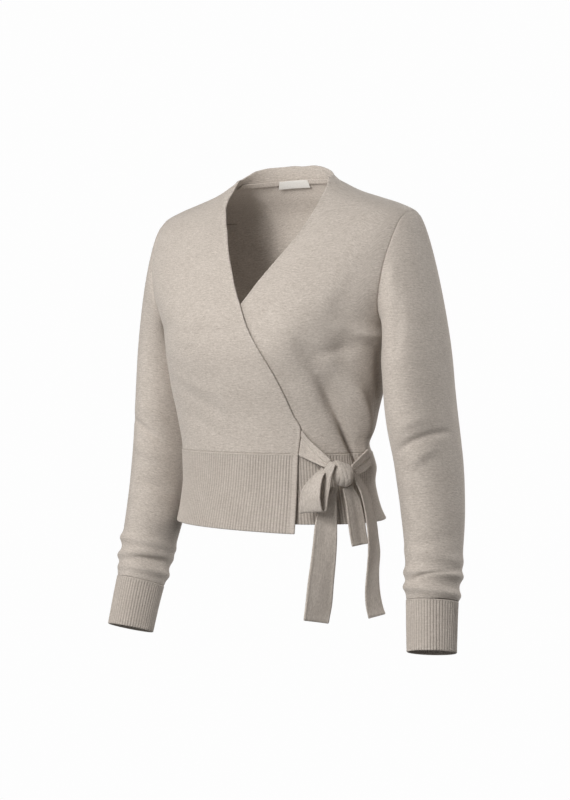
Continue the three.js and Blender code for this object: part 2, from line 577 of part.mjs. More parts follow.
// ---------------------------------------------------------------- ties and bow
const turned = KNOT.faces * DEG;
const U = new THREE.Vector3(Math.cos(turned), Math.sin(turned), 0), W = new THREE.Vector3(Math.sin(turned), -Math.cos(turned), 0);
const bow = (u, w, z) => new THREE.Vector3(KNOT.x, KNOT.y, KNOT.z + z).addScaledVector(U, u).addScaledVector(W, w);
// A flat band through its sections; its outer face is the one the rows give, fromB runs each row from edge b to a.
function ribbon(table, { across = 3, steps = 2, fromB = false, thick = TIE_WALL } = {}) {
  const edge = (p) => new THREE.CatmullRomCurve3(table.map((r) => bow(r["u" + p], r["w" + p], r["z" + p])), false, "centripetal");
  const a = edge("a"), b = edge("b"), n = (table.length - 1) * steps, rows = [];
  for (let i = 0; i <= n; i++) {
    const p = a.getPoint(i / n), q = b.getPoint(i / n), row = [];
    for (let j = 0; j < across; j++) row.push(p.clone().lerp(q, fromB ? 1 - j / (across - 1) : j / (across - 1)));
    rows.push(row);
  }
  return wall(rows, thick);
}
add("tie_right", ribbon(TIE_RIGHT), JERSEY);
add("tie_left", ribbon(TIE_LEFT, { fromB: true }), JERSEY);
add("loop", ribbon(LOOP, { fromB: true, thick: 2.2 }), JERSEY);
add("short_end", ribbon(SHORT_END, { fromB: true, thick: 2.2 }), JERSEY);
add("tail_left", ribbon(TAIL_LEFT, { fromB: true, thick: 2.2 }), JERSEY);
add("tail_right", ribbon(TAIL_RIGHT, { fromB: true, thick: 2.2 }), JERSEY);
{
  const N = 14, rings = KNOT_SECTIONS.map((r) => Array.from({ length: N }, (_, j) => {
    const k = (2 * Math.PI * j) / N;
    return bow(r.u, r.w + r.deep * Math.cos(k), r.z + r.high * Math.sin(k));
  }));
  const first = KNOT_SECTIONS[0], last = KNOT_SECTIONS[KNOT_SECTIONS.length - 1];
  const pts = rings.flat(), ends = [bow(first.u - 0.6, first.w, first.z), bow(last.u + 0.5, last.w, last.z)], idx = [];
  for (let i = 0; i < rings.length - 1; i++) for (let j = 0; j < N; j++) {
    const a = i * N + j, b = i * N + ((j + 1) % N);
    idx.push(a, a + N, b, b, a + N, b + N);
  }
  for (let j = 0; j < N; j++) {
    const k = (j + 1) % N, o = (rings.length - 1) * N;
    idx.push(pts.length, j, k, pts.length + 1, o + k, o + j);
  }
  const g = new THREE.BufferGeometry();
  g.setAttribute("position", new THREE.Float32BufferAttribute([...pts, ...ends].flatMap((p) => [p.x, p.y, p.z]), 3));
  g.setIndex(idx);
  g.computeVertexNormals();
  add("knot", g, JERSEY);
}
export default cardigan;
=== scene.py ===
"""Wrap cardigan in fine-gauge heather knit, worn form, hollow: its looks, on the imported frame.

Sizes are in millimetres in the tables and functions, and become metres when a mesh is made.
+Z up, +X the wearer's left, -Y the front, origin at the neck base.
"""
import math

import bpy
import numpy as np
from mathutils import Matrix, Vector


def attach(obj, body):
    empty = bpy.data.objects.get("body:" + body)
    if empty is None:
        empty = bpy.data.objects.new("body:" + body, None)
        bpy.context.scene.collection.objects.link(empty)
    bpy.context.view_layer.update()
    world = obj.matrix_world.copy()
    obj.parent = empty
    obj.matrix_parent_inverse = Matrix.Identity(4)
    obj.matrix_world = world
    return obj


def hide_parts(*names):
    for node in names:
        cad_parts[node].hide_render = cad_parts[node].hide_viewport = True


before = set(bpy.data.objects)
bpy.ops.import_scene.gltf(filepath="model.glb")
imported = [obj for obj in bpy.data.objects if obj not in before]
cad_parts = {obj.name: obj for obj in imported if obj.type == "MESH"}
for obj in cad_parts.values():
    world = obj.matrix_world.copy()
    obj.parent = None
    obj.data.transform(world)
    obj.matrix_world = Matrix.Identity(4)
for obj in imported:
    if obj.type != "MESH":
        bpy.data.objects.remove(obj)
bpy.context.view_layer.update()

# ================================================================ form
DEG = math.pi / 180
WALL = 2.0  # one layer of the knit
BAND_WALL = 2.4  # ribbed bands, edge bands and cuffs
LAYER = 3.4  # how far the wrapped front lies outside the one beneath
SEAM = 0.1  # the cloth meets closer than its solids do
EDGE_BAND = 9.0
Z_SHOULDER, Z_ARMPIT, Z_RIB = -45.0, -196.0, -350.0
TIE_WALL = 2.6
RIB = 3.9  # one rib, ridge and valley


def table(names, *rows):
    """A table with named columns."""
    return {n: np.array(c, float) for n, c in zip(names.split(), zip(*rows))}


BODY = table(
    "z half front back side square",
    (26, 57, 30, 40, 8, 2.0),
    (10, 65, 30, 45, 8, 2.0),
    (2, 73, 31, 49, 8, 2.0),
    (-5, 85, 33, 54, 9, 2.0),
    (-15, 105, 36, 61, 10, 2.05),
    (-25, 134, 40, 69, 10, 2.15),
    (-34, 160, 46, 75, 10, 2.25),
    (-45, 181, 54, 80, 9, 2.35),
    (-62, 191, 67, 85, 8, 2.4),
    (-100, 194, 91, 91, 4, 2.4),
    (-140, 184, 107, 92, -3, 2.35),
    (-172, 167, 116, 90, -9, 2.3),
    (-196, 156, 120.5, 87, -13, 2.25),
    (-225, 152, 122, 82, -17, 2.2),
    (-265, 147, 117.5, 74, -20, 2.15),
    (-305, 139, 109, 66, -22, 2.1),
    (-350, 132, 104, 65, -21, 2.1),
    (-385, 132, 103, 72, -18, 2.1),
    (-420, 137, 105, 83, -15, 2.1),
    (-470, 150, 110, 104, -12, 2.1),
)
ARMHOLE = table("z out", (-45, 180), (-66, 175), (-100, 170), (-140, 164), (-172, 158), (-196, 156))
RIGHT_EDGE = table(
    "z turn",
    (26, -82), (10, -75), (2, -69), (-8, -61), (-24, -54), (-46, -41), (-72, -27), (-115, -12.5), (-143, -5.5), (-166, 0.7),
    (-195, 8), (-221, 16), (-253, 26), (-300, 39), (-321, 44.5), (-352, 43), (-396, 40.5), (-433, 38), (-470, 36),
)
LEFT_EDGE = table(
    "z turn",
    (26, 90), (10, 85), (1, 78), (-7, 71), (-30, 56.5), (-60, 43), (-86, 32), (-109, 22), (-136, 10.7), (-156, 3.4),
    (-166, -0.3), (-220, -17), (-270, -29), (-325, -40), (-350, -43), (-470, -44),
)
NECK_STAND = table(
    "turn high",
    (76, 2.5), (79, 3), (85, 4.6), (92, 6.8), (110, 12.9), (125, 16.7), (140, 18.1), (165, 17.2),
    (190, 18.4), (215, 18.3), (237, 18.5), (255, 15.7), (265, 10.3), (275, 5.8), (285, 3), (292, 2.5),
)
OUTER_HEM = table("turn z", (-90, -443), (0, -446), (30, -447))
INNER_HEM = table("turn z", (-90, -437), (30, -436), (90, -436), (180, -439), (270, -443))
# Fullness of the bust on a general figure.
FULLNESS = table("turn z round high out", (-33, -202, 26, 50, 9), (33, -202, 26, 50, 9))
# The largest folds, straight, from one place to another.
BODY_FOLDS = table(
    "t0 z0 t1 z1 wide out",
    (45, -224, 79, -346, 10, -8),
    (60, -236, 90, -328, 11, 5),
    (62, -196, 88, -206, 9, 6),
    (88, -338, 130, -340, 11, -6),
    (94, -370, 130, -371, 11, 3.5),
    (98, -446, 130, -447, 18, 5),
)
# Creases: each bends from a start past a middle to an end. Ridges stand out, troughs go in.
CREASES = table(
    "t0 z0 t1 z1 t2 z2 wide out",
    (40, -200, 40, -222, 50, -250, 8, -2.0),
    (54, -250, 69, -300, 81, -368, 7, -6.0),
    (69, -316, 77, -338, 80, -370, 4.5, -4.5),
    (57, -262, 70, -304, 77, -336, 3.5, -1.6),
    (46, -224, 58, -223, 72, -215, 8, -3.4),
    (22, -170, 30, -205, 26, -245, 34, 4.5),
    (58, -150, 63, -215, 62, -300, 17, -5),
    (68, -108, 60, -148, 51, -200, 13, -2.4),
    (40, -262, 50, -298, 66, -336, 6, 1.3),
    (70, -268, 82, -304, 90, -344, 9, 4.0),
    (83, -330, 87, -346, 91, -362, 5, 3.6),
    (84, -214, 88, -255, 92, -300, 8, -5.0),
    (66, -200, 76, -204, 86, -210, 5, 2.6),
    (-74, -186, -27, -197, 4, -192, 10, -1.3),
    (-52, -214, -36, -219, -20, -216, 4, -0.9),
    (-76, -254, -30, -288, 0, -326, 8, -1.1),
    (-62, -236, -40, -262, -8, -276, 7, 0.8),
    (-70, -300, -40, -312, -14, -340, 7, -0.9),
    (-40, -240, -44, -280, -40, -330, 9, -0.7),
    (-12, -250, -14, -290, -10, -335, 8, 0.7),
    (-80, -205, -84, -250, -78, -300, 8, -1.8),
    (104, -204, 114, -262, 99, -340, 9, -4.2),
    (116, -214, 126, -262, 118, -310, 9, 2.2),
    (262, -206, 246, -250, 259, -338, 9, -3.6),
    (246, -226, 236, -270, 240, -300, 9, 1.8),
    (136, -296, 176, -309, 214, -298, 8, -2.0),
    (150, -318, 182, -330, 232, -322, 7, -1.6),
    (206, -276, 232, -288, 254, -282, 7, -1.4),
    (112, -130, 134, -176, 160, -204, 13, -2.2),
    (250, -122, 226, -168, 206, -190, 12, -2.0),
    (150, -70, 176, -78, 204, -70, 9, -1.0),
)
LEFT_ARM = table(
    "z x y half deep",
    (-240, 194.5, -10, 39, 69), (-300, 201.5, -13, 40, 67), (-360, 211.5, -14, 40, 57), (-420, 220, -21, 38, 49),
    (-465, 225, -30, 35, 42), (-513, 228, -41, 32, 36), (-550, 231, -50, 31, 33), (-587, 235, -60, 30, 32),
)
RIGHT_ARM = table(
    "z x y half deep",
    (-240, -187, 17, 37, 61), (-300, -187, 11, 38, 59), (-360, -186, 0, 38, 54), (-420, -186, -16, 37, 48),
    (-465, -188, -30, 35, 43), (-513, -191, -44, 32, 36), (-550, -194, -56, 31, 33), (-591, -196, -69, 30, 32),
)
# Rolls of cloth pushed up above the cuff: where along the arm, how far out, how long, which side is fullest.
ROLLS = {
    "left": table("s out long full lean", (0.794, 4.4, 0.016, 100, 0.012), (0.737, 4.6, 0.018, 40, 0.002), (0.672, 2.2, 0.022, 20, 0.02)),
    "right": table("s out long full lean", (0.789, 3.6, 0.016, 180, 0.004), (0.737, 4.8, 0.018, 30, 0.014), (0.685, 4, 0.018, 60, -0.004)),
}
CUFF_TOP = 0.826
# Creases on the sleeves, by the turn round the arm (0 outside, 90 in front, 180 against the body) and height.
ARM_CREASES = {
    "left": table(
        "k0 z0 k1 z1 k2 z2 wide out",
        (66, -118, 80, -130, 96, -152, 6, 1.4), (76, -150, 80, -192, 94, -232, 9, -2.2),
        (124, -350, 58, -326, 8, -322, 4.5, -3.8), (100, -366, 70, -348, 36, -338, 7, 2.8), (104, -322, 70, -307, 36, -304, 6, 1.8),
        (180, -468, 92, -456, 0, -440, 7, -1.3), (150, -420, 110, -400, 60, -398, 9, -0.9),
        (132, -508, 68, -489, -6, -491, 3.2, -2.2), (176, -545, 90, -527, 10, -522, 3.0, -1.4),
        (296, -352, 258, -334, 214, -346, 5, -2.6), (300, -376, 262, -360, 220, -370, 7, 1.7), (262, -130, 282, -176, 266, -226, 10, -1.8),
        (330, -250, 344, -300, 338, -350, 9, -1.1), (300, -448, 258, -462, 206, -456, 7, -1.5), (318, -500, 262, -508, 216, -500, 3.4, -1.8),
    ),
    "right": table(
        "k0 z0 k1 z1 k2 z2 wide out",
        (36, -312, 82, -322, 128, -344, 5, -4.2), (56, -340, 96, -356, 150, -362, 7, 2.6), (70, -296, 100, -300, 134, -318, 6.5, 1.9),
        (84, -390, 118, -400, 160, -410, 7, -3.0), (80, -432, 124, -446, 166, -450, 9, 1.4), (70, -462, 104, -470, 150, -466, 5, -1.0),
        (96, -494, 140, -499, 186, -505, 3.4, -3.2), (60, -240, 88, -262, 110, -300, 9, -1.0),
        (224, -336, 262, -328, 306, -340, 5, -2.4), (228, -360, 264, -352, 300, -362, 7, 1.6), (266, -140, 280, -184, 262, -230, 10, -1.6),
        (340, -260, 350, -300, 344, -348, 9, -1.0), (214, -430, 262, -444, 304, -438, 7, -1.4), (220, -500, 266, -508, 316, -502, 3.4, -1.8),
    ),
}

# The bow's own frame: the middle of the knot and the way it faces.
KNOT = {"x": 125.0, "y": -84.0, "z": -371.0, "faces": 49.0}
TIE_RIGHT = table(
    "ua za wa ub zb wb",
    (-41.4, 49.6, -27.4, -43.5, 19.9, -31.4), (-33.7, 39.1, -23.0, -35.7, 15.6, -24.6),
    (-23.8, 26.6, -12, -28.3, 11.1, -14), (-14, 15.8, -3.5, -19.6, 6.2, -4.5),
)
TIE_LEFT = table(
    "ua za wa ub zb wb",
    (46.6, 25.5, -26.5, 54.2, 5.4, -32.2), (35.3, 18.5, -20, 43.7, -0.2, -24.5),
    (22.3, 11.4, -10, 28.5, -4.3, -13), (15.4, 7.8, -4, 17.1, -5.5, -5),
)
LOOP = table(
    "ua za wa ub zb wb",
    (-26.1, 5.8, -1, -21.6, 1, 3), (-38.1, -4.3, -2, -29, -3.3, 9), (-49, -18.9, -5, -34.4, -16.3, 13.5),
    (-52.2, -32, -6.5, -35.6, -28.4, 14.5), (-51.9, -43.6, -8, -33.2, -39.6, 13), (-51, -49.4, -10.5, -29.9, -46.6, 11),
    (-47, -48.6, -13, -24.6, -46.6, 8), (-40.6, -38.4, -12.5, -21.9, -33.2, 7.5), (-31.7, -23.3, -9, -19.4, -18, 9),
    (-25.1, -7.3, -4, -17.4, -4.3, 10), (-22.9, 5.7, 3, -15.5, 2.3, 12), (-17.9, 13.6, 8, -13.8, 9.9, 12),
)
TAIL_LEFT = table(
    "ua za wa ub zb wb",
    (-12.1, -19.1, -8, -3.2, -21.1, -7), (-17.7, -28.3, -9, -4.1, -31.1, -8), (-25, -42.8, -9, -3.3, -47.2, -8),
    (-30.7, -61.8, -8, -3.8, -63, -6), (-34.8, -88.9, -6, -4.5, -90.1, -5), (-38.9, -113.1, -4, -6.7, -114.6, -4),
    (-42.6, -134.9, -3, -8.9, -136.8, -4), (-45.9, -160.3, -2, -11.3, -163.8, -4), (-48.9, -179.6, -1, -15.8, -185.8, -4),
)
TAIL_RIGHT = table(
    "ua za wa ub zb wb",
    (14.4, -4.2, 3, 17.4, 0.4, 0), (17.5, -11.6, 4, 27, -8.2, -4), (23.8, -24.1, 5, 40.6, -22.9, -13),
    (29, -42.2, 5, 49.3, -43.6, -17), (32.5, -62, 5, 55.3, -64.6, -18), (34.5, -79.4, 5, 57.3, -82.8, -17),
    (35, -99.2, 5, 59.3, -102.9, -16), (33.6, -122.8, 4, 57.9, -126.8, -16), (32, -145.2, 3, 58.6, -149.4, -15),
    (33, -164.2, 2, 61.2, -168.1, -13), (36.8, -182, 1, 64, -179.9, -11),
)
SHORT_END = table(
    "ua za wa ub zb wb",
    (4, -21.5, -4, 16.3, -17.8, -4), (8, -36.2, -5, 27.6, -33.3, -8), (11.2, -57.3, -5, 35, -56.3, -11),
    (13.9, -76, -5, 37.8, -75.1, -11), (16.9, -92.3, -5, 40.1, -89.9, -10),
)
KNOT_SECTIONS = table(
    "u z high w deep",
    (-12.5, 4, 4, 1, 4), (-10.5, 2.5, 9.5, 1, 8), (-6.5, -0.5, 13.2, 0.5, 12), (-1, -3.4, 14, 0, 14),
    (4, -5, 13.8, 0, 14), (8.5, -4.4, 11.6, 0, 12), (11.5, -3, 7.4, 0, 8), (12.7, -2.5, 3.5, 0, 4),
)


def through(tab, by, read):
    """A smooth curve through the rows of a table, by one column, read by another."""
    order = np.argsort(tab[by])
    x, y = tab[by][order], tab[read][order]
    d = np.diff(y) / np.diff(x)
    m = np.empty_like(y)
    m[0], m[-1] = d[0], d[-1]
    for i in range(1, len(x) - 1):
        if d[i - 1] * d[i] <= 0:
            m[i] = 0
        else:
            a, b = x[i] - x[i - 1], x[i + 1] - x[i]
            m[i] = 3 * (a + b) / ((2 * b + a) / d[i - 1] + (b + 2 * a) / d[i])

    def f(v):
        v = np.asarray(v, float)
        i = np.clip(np.searchsorted(x, v, side="right") - 1, 0, len(x) - 2)
        h = x[i + 1] - x[i]
        t = (v - x[i]) / h
        inside = y[i] * (2 * t**3 - 3 * t**2 + 1) + h * m[i] * (t**3 - 2 * t**2 + t) + y[i + 1] * (3 * t**2 - 2 * t**3) + h * m[i + 1] * (t**3 - t**2)
        return np.where(v <= x[0], y[0] + m[0] * (v - x[0]), np.where(v >= x[-1], y[-1] + m[-1] * (v - x[-1]), inside))

    return f


def ease(t):
    t = np.clip(t, 0, 1)
    return t * t * (3 - 2 * t)


def mix(a, b, t):
    return a + (b - a) * t


def unit(v):
    return v / np.maximum(np.linalg.norm(v, axis=-1, keepdims=True), 1e-9)


half, front, back, side, square = (through(BODY, "z", n) for n in ("half", "front", "back", "side", "square"))
arm_out = through(ARMHOLE, "z", "out")
right_edge, left_edge = through(RIGHT_EDGE, "z", "turn"), through(LEFT_EDGE, "z", "turn")
outer_hem, inner_hem = through(OUTER_HEM, "turn", "z"), through(INNER_HEM, "turn", "z")
neck_stand = through(NECK_STAND, "turn", "high")


def bent(px, py, row, keys, k, around=None):
    """How far a crease's row lifts the points px, py: it bends through three places, swells from nothing and dies away."""
    t = np.linspace(0, 1, 13)
    q = [row[c] for c in keys]
    if around:
        q[2] = q[0] + (q[2] - q[0] + around / 2) % around - around / 2
        q[4] = q[0] + (q[4] - q[0] + around / 2) % around - around / 2
    cx, cy = 2 * q[2] - (q[0] + q[4]) / 2, 2 * q[3] - (q[1] + q[5]) / 2
    ax = (1 - t) ** 2 * q[0] + 2 * t * (1 - t) * cx + t**2 * q[4]
    ay = (1 - t) ** 2 * q[1] + 2 * t * (1 - t) * cy + t**2 * q[5]
    px, py = np.broadcast_arrays(np.asarray(px, float), np.asarray(py, float))
    dx = px - q[0]
    if around:
        dx = (dx + around / 2) % around - around / 2
    far, lift = 2.6 * row["wide"], np.zeros(px.shape)
    X, Y = dx * k, py
    close = (X > (ax.min() - q[0]) * k - far) & (X < (ax.max() - q[0]) * k + far) & (Y > ay.min() - far) & (Y < ay.max() + far)
    if not close.any():
        return lift
    X, Y = X[close], Y[close]
    best, where = np.full(X.shape, 1e9), np.zeros(X.shape)
    for i in range(12):
        x0, y0, x1, y1 = (ax[i] - q[0]) * k, ay[i], (ax[i + 1] - q[0]) * k, ay[i + 1]
        ex, ey = x1 - x0, y1 - y0
        s = np.clip(((X - x0) * ex + (Y - y0) * ey) / (ex * ex + ey * ey + 1e-9), 0, 1)
        d = np.hypot(X - x0 - s * ex, Y - y0 - s * ey)
        near = d < best
        best = np.where(near, d, best)
        where = np.where(near, (i + s) / 12, where)
    w = row["wide"]
    lift[close] = row["out"] * np.exp(-((best / w) ** 2)) * np.sin(math.pi * np.clip(where, 0, 1)) ** 0.8
    return lift


def rows_of(tab):
    n = len(next(iter(tab.values())))
    return [{c: tab[c][i] for c in tab} for i in range(n)]


def fold_out(turn, z):
    out = 0.0
    for f in rows_of(FULLNESS):
        out = out + f["out"] * np.exp(-(((turn - f["turn"]) / f["round"]) ** 2) - ((z - f["z"]) / f["high"]) ** 2)
    k = 2.3  # mm to a degree
    for f in rows_of(BODY_FOLDS):
        ax, ay, bx, by = f["t0"] * k, f["z0"], f["t1"] * k, f["z1"]
        px, py = turn * k, z
        dx, dy = bx - ax, by - ay
        L = math.hypot(dx, dy)
        s = ((px - ax) * dx + (py - ay) * dy) / (L * L)
        off = np.abs((px - ax) * dy - (py - ay) * dx) / L
        end = np.where(s < 0, -s * L, np.where(s > 1, (s - 1) * L, 0))
        out = out + f["out"] * np.exp(-((off / f["wide"]) ** 2)) * np.exp(-((end / (f["wide"] * 1.6)) ** 2)) * mix(0.55, 1, np.sin(math.pi * np.clip(s, 0, 1)))
    for f in rows_of(CREASES):
        out = out + bent(turn, z, f, ("t0", "z0", "t1", "z1", "t2", "z2"), k, 360)
    return out


def place(turn, z, out=0.0):
    """A point of the body's outer surface, turned round from centre front towards the wearer's left."""
    t = (np.asarray(turn, float) + 90) % 360 - 90
    z = np.asarray(z, float)
    a, c, n = half(z), side(z), square(z)
    deep = np.where(np.abs(t) < 90, front(z) + c, back(z) - c)
    s, k = np.abs(np.sin(t * DEG)), np.abs(np.cos(t * DEG))
    r = ((s / a) ** n + (k / deep) ** n) ** (-1 / n) + out + fold_out(t, z)
    return np.stack([r * np.sin(t * DEG), c - r * np.cos(t * DEG), z + 0 * t], -1)


def flat(turn, z):
    return 0.0


def body(turn, z, lift=flat):
    """The same point lifted off the surface, and the way the surface faces there."""
    turn, z = np.broadcast_arrays(np.asarray(turn, float), np.asarray(z, float))

    def at(t, h):
        return place(t, h, lift(t, h))

    n = unit(np.cross(at(turn + 0.4, z) - at(turn - 0.4, z), at(turn, z + 0.8) - at(turn, z - 0.8)))
    return at(turn, z), n


def arm_turn(z, behind):
    x, a, c, n = arm_out(z), half(z), side(z), square(z)
    deep = back(z) - c if behind else front(z) + c
    y = deep * np.maximum(0, 1 - np.minimum(1, x / a) ** n) ** (1 / n)
    t = np.arctan2(x, y) / DEG
    return 180 - t if behind else t


def even(t, ratio):
    e = np.arctan2(np.sin(t * DEG) * ratio, np.cos(t * DEG)) / DEG
    return e + 360 * np.round((t - e) / 360)


def between(t0, t1, k):
    """Columns between two turns, closer where the section bends most."""
    return even(mix(even(t0, 1 / 1.5), even(t1, 1 / 1.5), k), 1.5)


LOW_ROWS, ARM_ROWS, TOP_ROWS = 50, 54, 40


def hole(k):
    """The armhole by the turn round it: 0 the shoulder point, 90 in front, 180 the armpit, 270 behind."""
    k = np.asarray(k, float) % 360
    z = mix(Z_SHOULDER, Z_ARMPIT, (1 - np.cos(k * DEG)) / 2)
    t = np.where(k > 180, arm_turn(z, True), arm_turn(z, False))
    return mix(90, t, ease(np.minimum(k, 360 - k) / 16)), z


def panel_rows(z0):
    """Heights of a panel's rows, and its side's turn in front and behind at each."""
    i = np.arange(ARM_ROWS)
    low = mix(z0, Z_ARMPIT, np.arange(LOW_ROWS) / LOW_ROWS)
    ahead, z_arm = hole(180 - 180 * i / ARM_ROWS)
    behind, _ = hole(180 + 180 * i / ARM_ROWS)
    z = np.linspace(Z_SHOULDER, 0, 400)
    along = np.concatenate([[0], np.cumsum(np.hypot(np.diff(half(z)), np.diff(z)))])
    top = np.interp(np.linspace(0, along[-1], TOP_ROWS + 1), along, z)
    ends = np.full
    zs = np.concatenate([low, z_arm, top])
    f = np.concatenate([ends(LOW_ROWS, 90.0), ahead, ends(TOP_ROWS + 1, 90.0)])
    b = np.concatenate([ends(LOW_ROWS, 90.0), behind, ends(TOP_ROWS + 1, 90.0)])
    return zs, f, b


GAP = 0.012  # half of a seam's gap, in degrees round the body


def outer_lift(turn, z=0.0):
    return LAYER * ease((((np.asarray(turn, float) + 90) % 360 - 90) + 84) / 34)


def band_turn(edge, z):
    """The narrow band's width round the body at a height, in degrees."""
    t = edge(z)
    p, q, r = place(t, z), place(t, z - 2), place(t + 1, z)
    round_ = np.linalg.norm(p - r, axis=-1)
    slope = (edge(z) - edge(z - 2)) * round_ / np.linalg.norm(p - q, axis=-1)
    return EDGE_BAND * np.hypot(1, slope) / round_


def back_rise(turn, z):
    return 6.2 * ease((z + 40) / 40) * np.maximum(np.sin(np.clip((turn - 90) / 180, 0, 1) * math.pi), 0) ** 0.55


def front_panel(who, cols):
    sgn = 1 if who == "left" else -1
    edge, lift = (left_edge, flat) if who == "left" else (right_edge, outer_lift)
    z, s, _ = panel_rows(Z_RIB + SEAM / 2)
    s = (s - GAP) * sgn
    e = edge(z) + sgn * (band_turn(edge, z) + GAP * 2)
    k = np.linspace(0, 1, cols)[None, :]
    t = between(e[:, None], s[:, None], k) if who == "left" else between(s[:, None], e[:, None], k)
    return body(t, z[:, None], lift)[0]


def back_panel(cols):
    z, _, s = panel_rows(Z_RIB + SEAM / 2)
    s = (s + GAP)[:, None]
    t = between(s, 360 - s, np.linspace(0, 1, cols)[None, :])
    return body(t, z[:, None] + back_rise(t, z[:, None]))[0]


def edge_band(who, cols):
    sgn = 1 if who == "left" else -1
    edge, lift = (left_edge, flat) if who == "left" else (right_edge, outer_lift)
    z, _, _ = panel_rows(Z_RIB + SEAM / 2)
    k, w = np.linspace(0, 1, cols)[None, :], band_turn(edge, z)[:, None]
    h = z[:, None] + 2.5 * (1 - k if who == "left" else k) * ease((z[:, None] + 8) / 8)
    e = edge(h)
    t = mix(e, e + w, k) if who == "left" else mix(e - w, e, k)
    return body(t, h, lambda tt, zz: lift(tt, zz) + 0.06)[0]


def hang(t, z):
    return outer_lift(t) + 4 * ease((t - 10) / 30) * ease((Z_RIB - z) / 100)


def hem_grid(start, stop, cols, rows, hem, lift):
    top = Z_RIB - SEAM / 2
    k = np.linspace(0, 1, cols)[None, :]
    i = np.asarray(rows)[:, None]
    high = mix(hem(0), top, i)
    t = between(start(high), stop(high), k)
    z = mix(hem(t), top, i)
    return body(t, z, lambda tt, zz: lift(tt, zz) + 0.4)[0]


def neck_band(rows, cols, ends):
    z0 = 0.0
    seam_l, seam_r = left_edge(z0) + band_turn(left_edge, z0), 360 + right_edge(z0) - band_turn(right_edge, z0)
    b0, b1 = 90 + GAP, 270 - GAP
    w = (np.arange(rows) / (rows - 1))[:, None]
    t0, t1 = mix(seam_l, left_edge(2.0), w), mix(seam_r, 360 + right_edge(2.0), w)
    a = mix(t0, b0, np.arange(ends)[None, :] / ends)
    m = between(b0, b1, np.linspace(0, 1, cols)[None, :]) + 0 * w
    c = mix(b1, t1, np.arange(1, ends + 1)[None, :] / ends)
    t = np.concatenate([a, m, c], 1)
    stand = neck_stand(t)
    z = SEAM + stand * w + np.where((t > 90) & (t < 270), back_rise(t, 0.0), 0)
    return body(t, z, lambda tt, zz: np.where(tt > 270, outer_lift(tt - 360), 0) + 0.06)[0]


def neck_strip(t0, t1, cols, rows, high, low, deep):
    t = between(t0, t1, np.linspace(0, 1, cols))[None, :]
    z = mix(low, high, np.arange(rows) / (rows - 1))[:, None]
    p, n = body(t, z + back_rise(t, 0.0))
    return p - n * deep


class Line:
    """A smooth line through points, read by the share of its length."""

    def __init__(self, pts):
        P = np.asarray(pts, float)
        ends = np.vstack([2 * P[0] - P[1], P, 2 * P[-1] - P[-2]])
        out, per = [], 160
        for i in range(len(P) - 1):
            x0, x1, x2, x3 = ends[i : i + 4]
            d0, d1, d2 = (max(np.sum((b - a) ** 2), 1e-8) ** 0.25 for a, b in ((x0, x1), (x1, x2), (x2, x3)))
            m1 = ((x1 - x0) / d0 - (x2 - x0) / (d0 + d1) + (x2 - x1) / d1) * d1
            m2 = ((x2 - x1) / d1 - (x3 - x1) / (d1 + d2) + (x3 - x2) / d2) * d1
            t = (np.arange(per + (i == len(P) - 2)) / per)[:, None]
            out.append(x1 * (2 * t**3 - 3 * t**2 + 1) + m1 * (t**3 - 2 * t**2 + t) + x2 * (3 * t**2 - 2 * t**3) + m2 * (t**3 - t**2))
        self.raw = np.vstack(out)
        along = np.concatenate([[0], np.cumsum(np.linalg.norm(np.diff(self.raw, axis=0), axis=1))])
        self.total, self.along = along[-1], along / along[-1]

    def at(self, s):
        s = np.asarray(s, float)
        return np.stack([np.interp(s, self.along, self.raw[:, i]) for i in range(3)], -1)

    def raw_at(self, t):
        """By the count of the points and not by length."""
        x = np.linspace(0, 1, len(self.raw))
        return np.stack([np.interp(t, x, self.raw[:, i]) for i in range(3)], -1)

    def way(self, s):
        s = np.asarray(s, float)
        return unit(self.at(np.clip(s + 0.004, 0, 1)) - self.at(np.clip(s - 0.004, 0, 1)))


class Arm:
    def __init__(self, who):
        tab = LEFT_ARM if who == "left" else RIGHT_ARM
        pts = np.stack([tab["x"], tab["y"], tab["z"]], -1)
        self.who, self.sgn, self.line = who, 1 if who == "left" else -1, Line(pts)
        ln = np.concatenate([[0], np.cumsum(np.linalg.norm(np.diff(pts, axis=0), axis=1))])
        by = {"s": ln / ln[-1], "half": tab["half"], "deep": tab["deep"]}
        self.half, self.deep = through(by, "s", "half"), through(by, "s", "deep")

    def ring(self, s, k, out=0.0):
        s, k = np.broadcast_arrays(np.asarray(s, float), np.asarray(k, float))
        c, w = self.line.at(s), self.line.way(s)
        u = np.array([self.sgn, 0.0, 0.0]) - w * (w[..., :1] * self.sgn)
        u = unit(u)
        v = np.cross(w, u)
        v = np.where(v[..., 1:2] > 0, -v, v)
        a = ((self.half(s) + out) * np.cos(k * DEG))[..., None]
        b = ((self.deep(s) + out) * np.sin(k * DEG))[..., None]
        return c + u * a + v * b

    def rolls(self, s, k):
        out = 0.0
        for r in rows_of(ROLLS[self.who]):
            out = out + r["out"] * np.exp(-(((s - r["s"] - r["lean"] * np.cos(k * DEG)) / r["long"]) ** 2)) * mix(0.55, 1, (1 + np.cos((k - r["full"]) * DEG)) / 2)
        return out


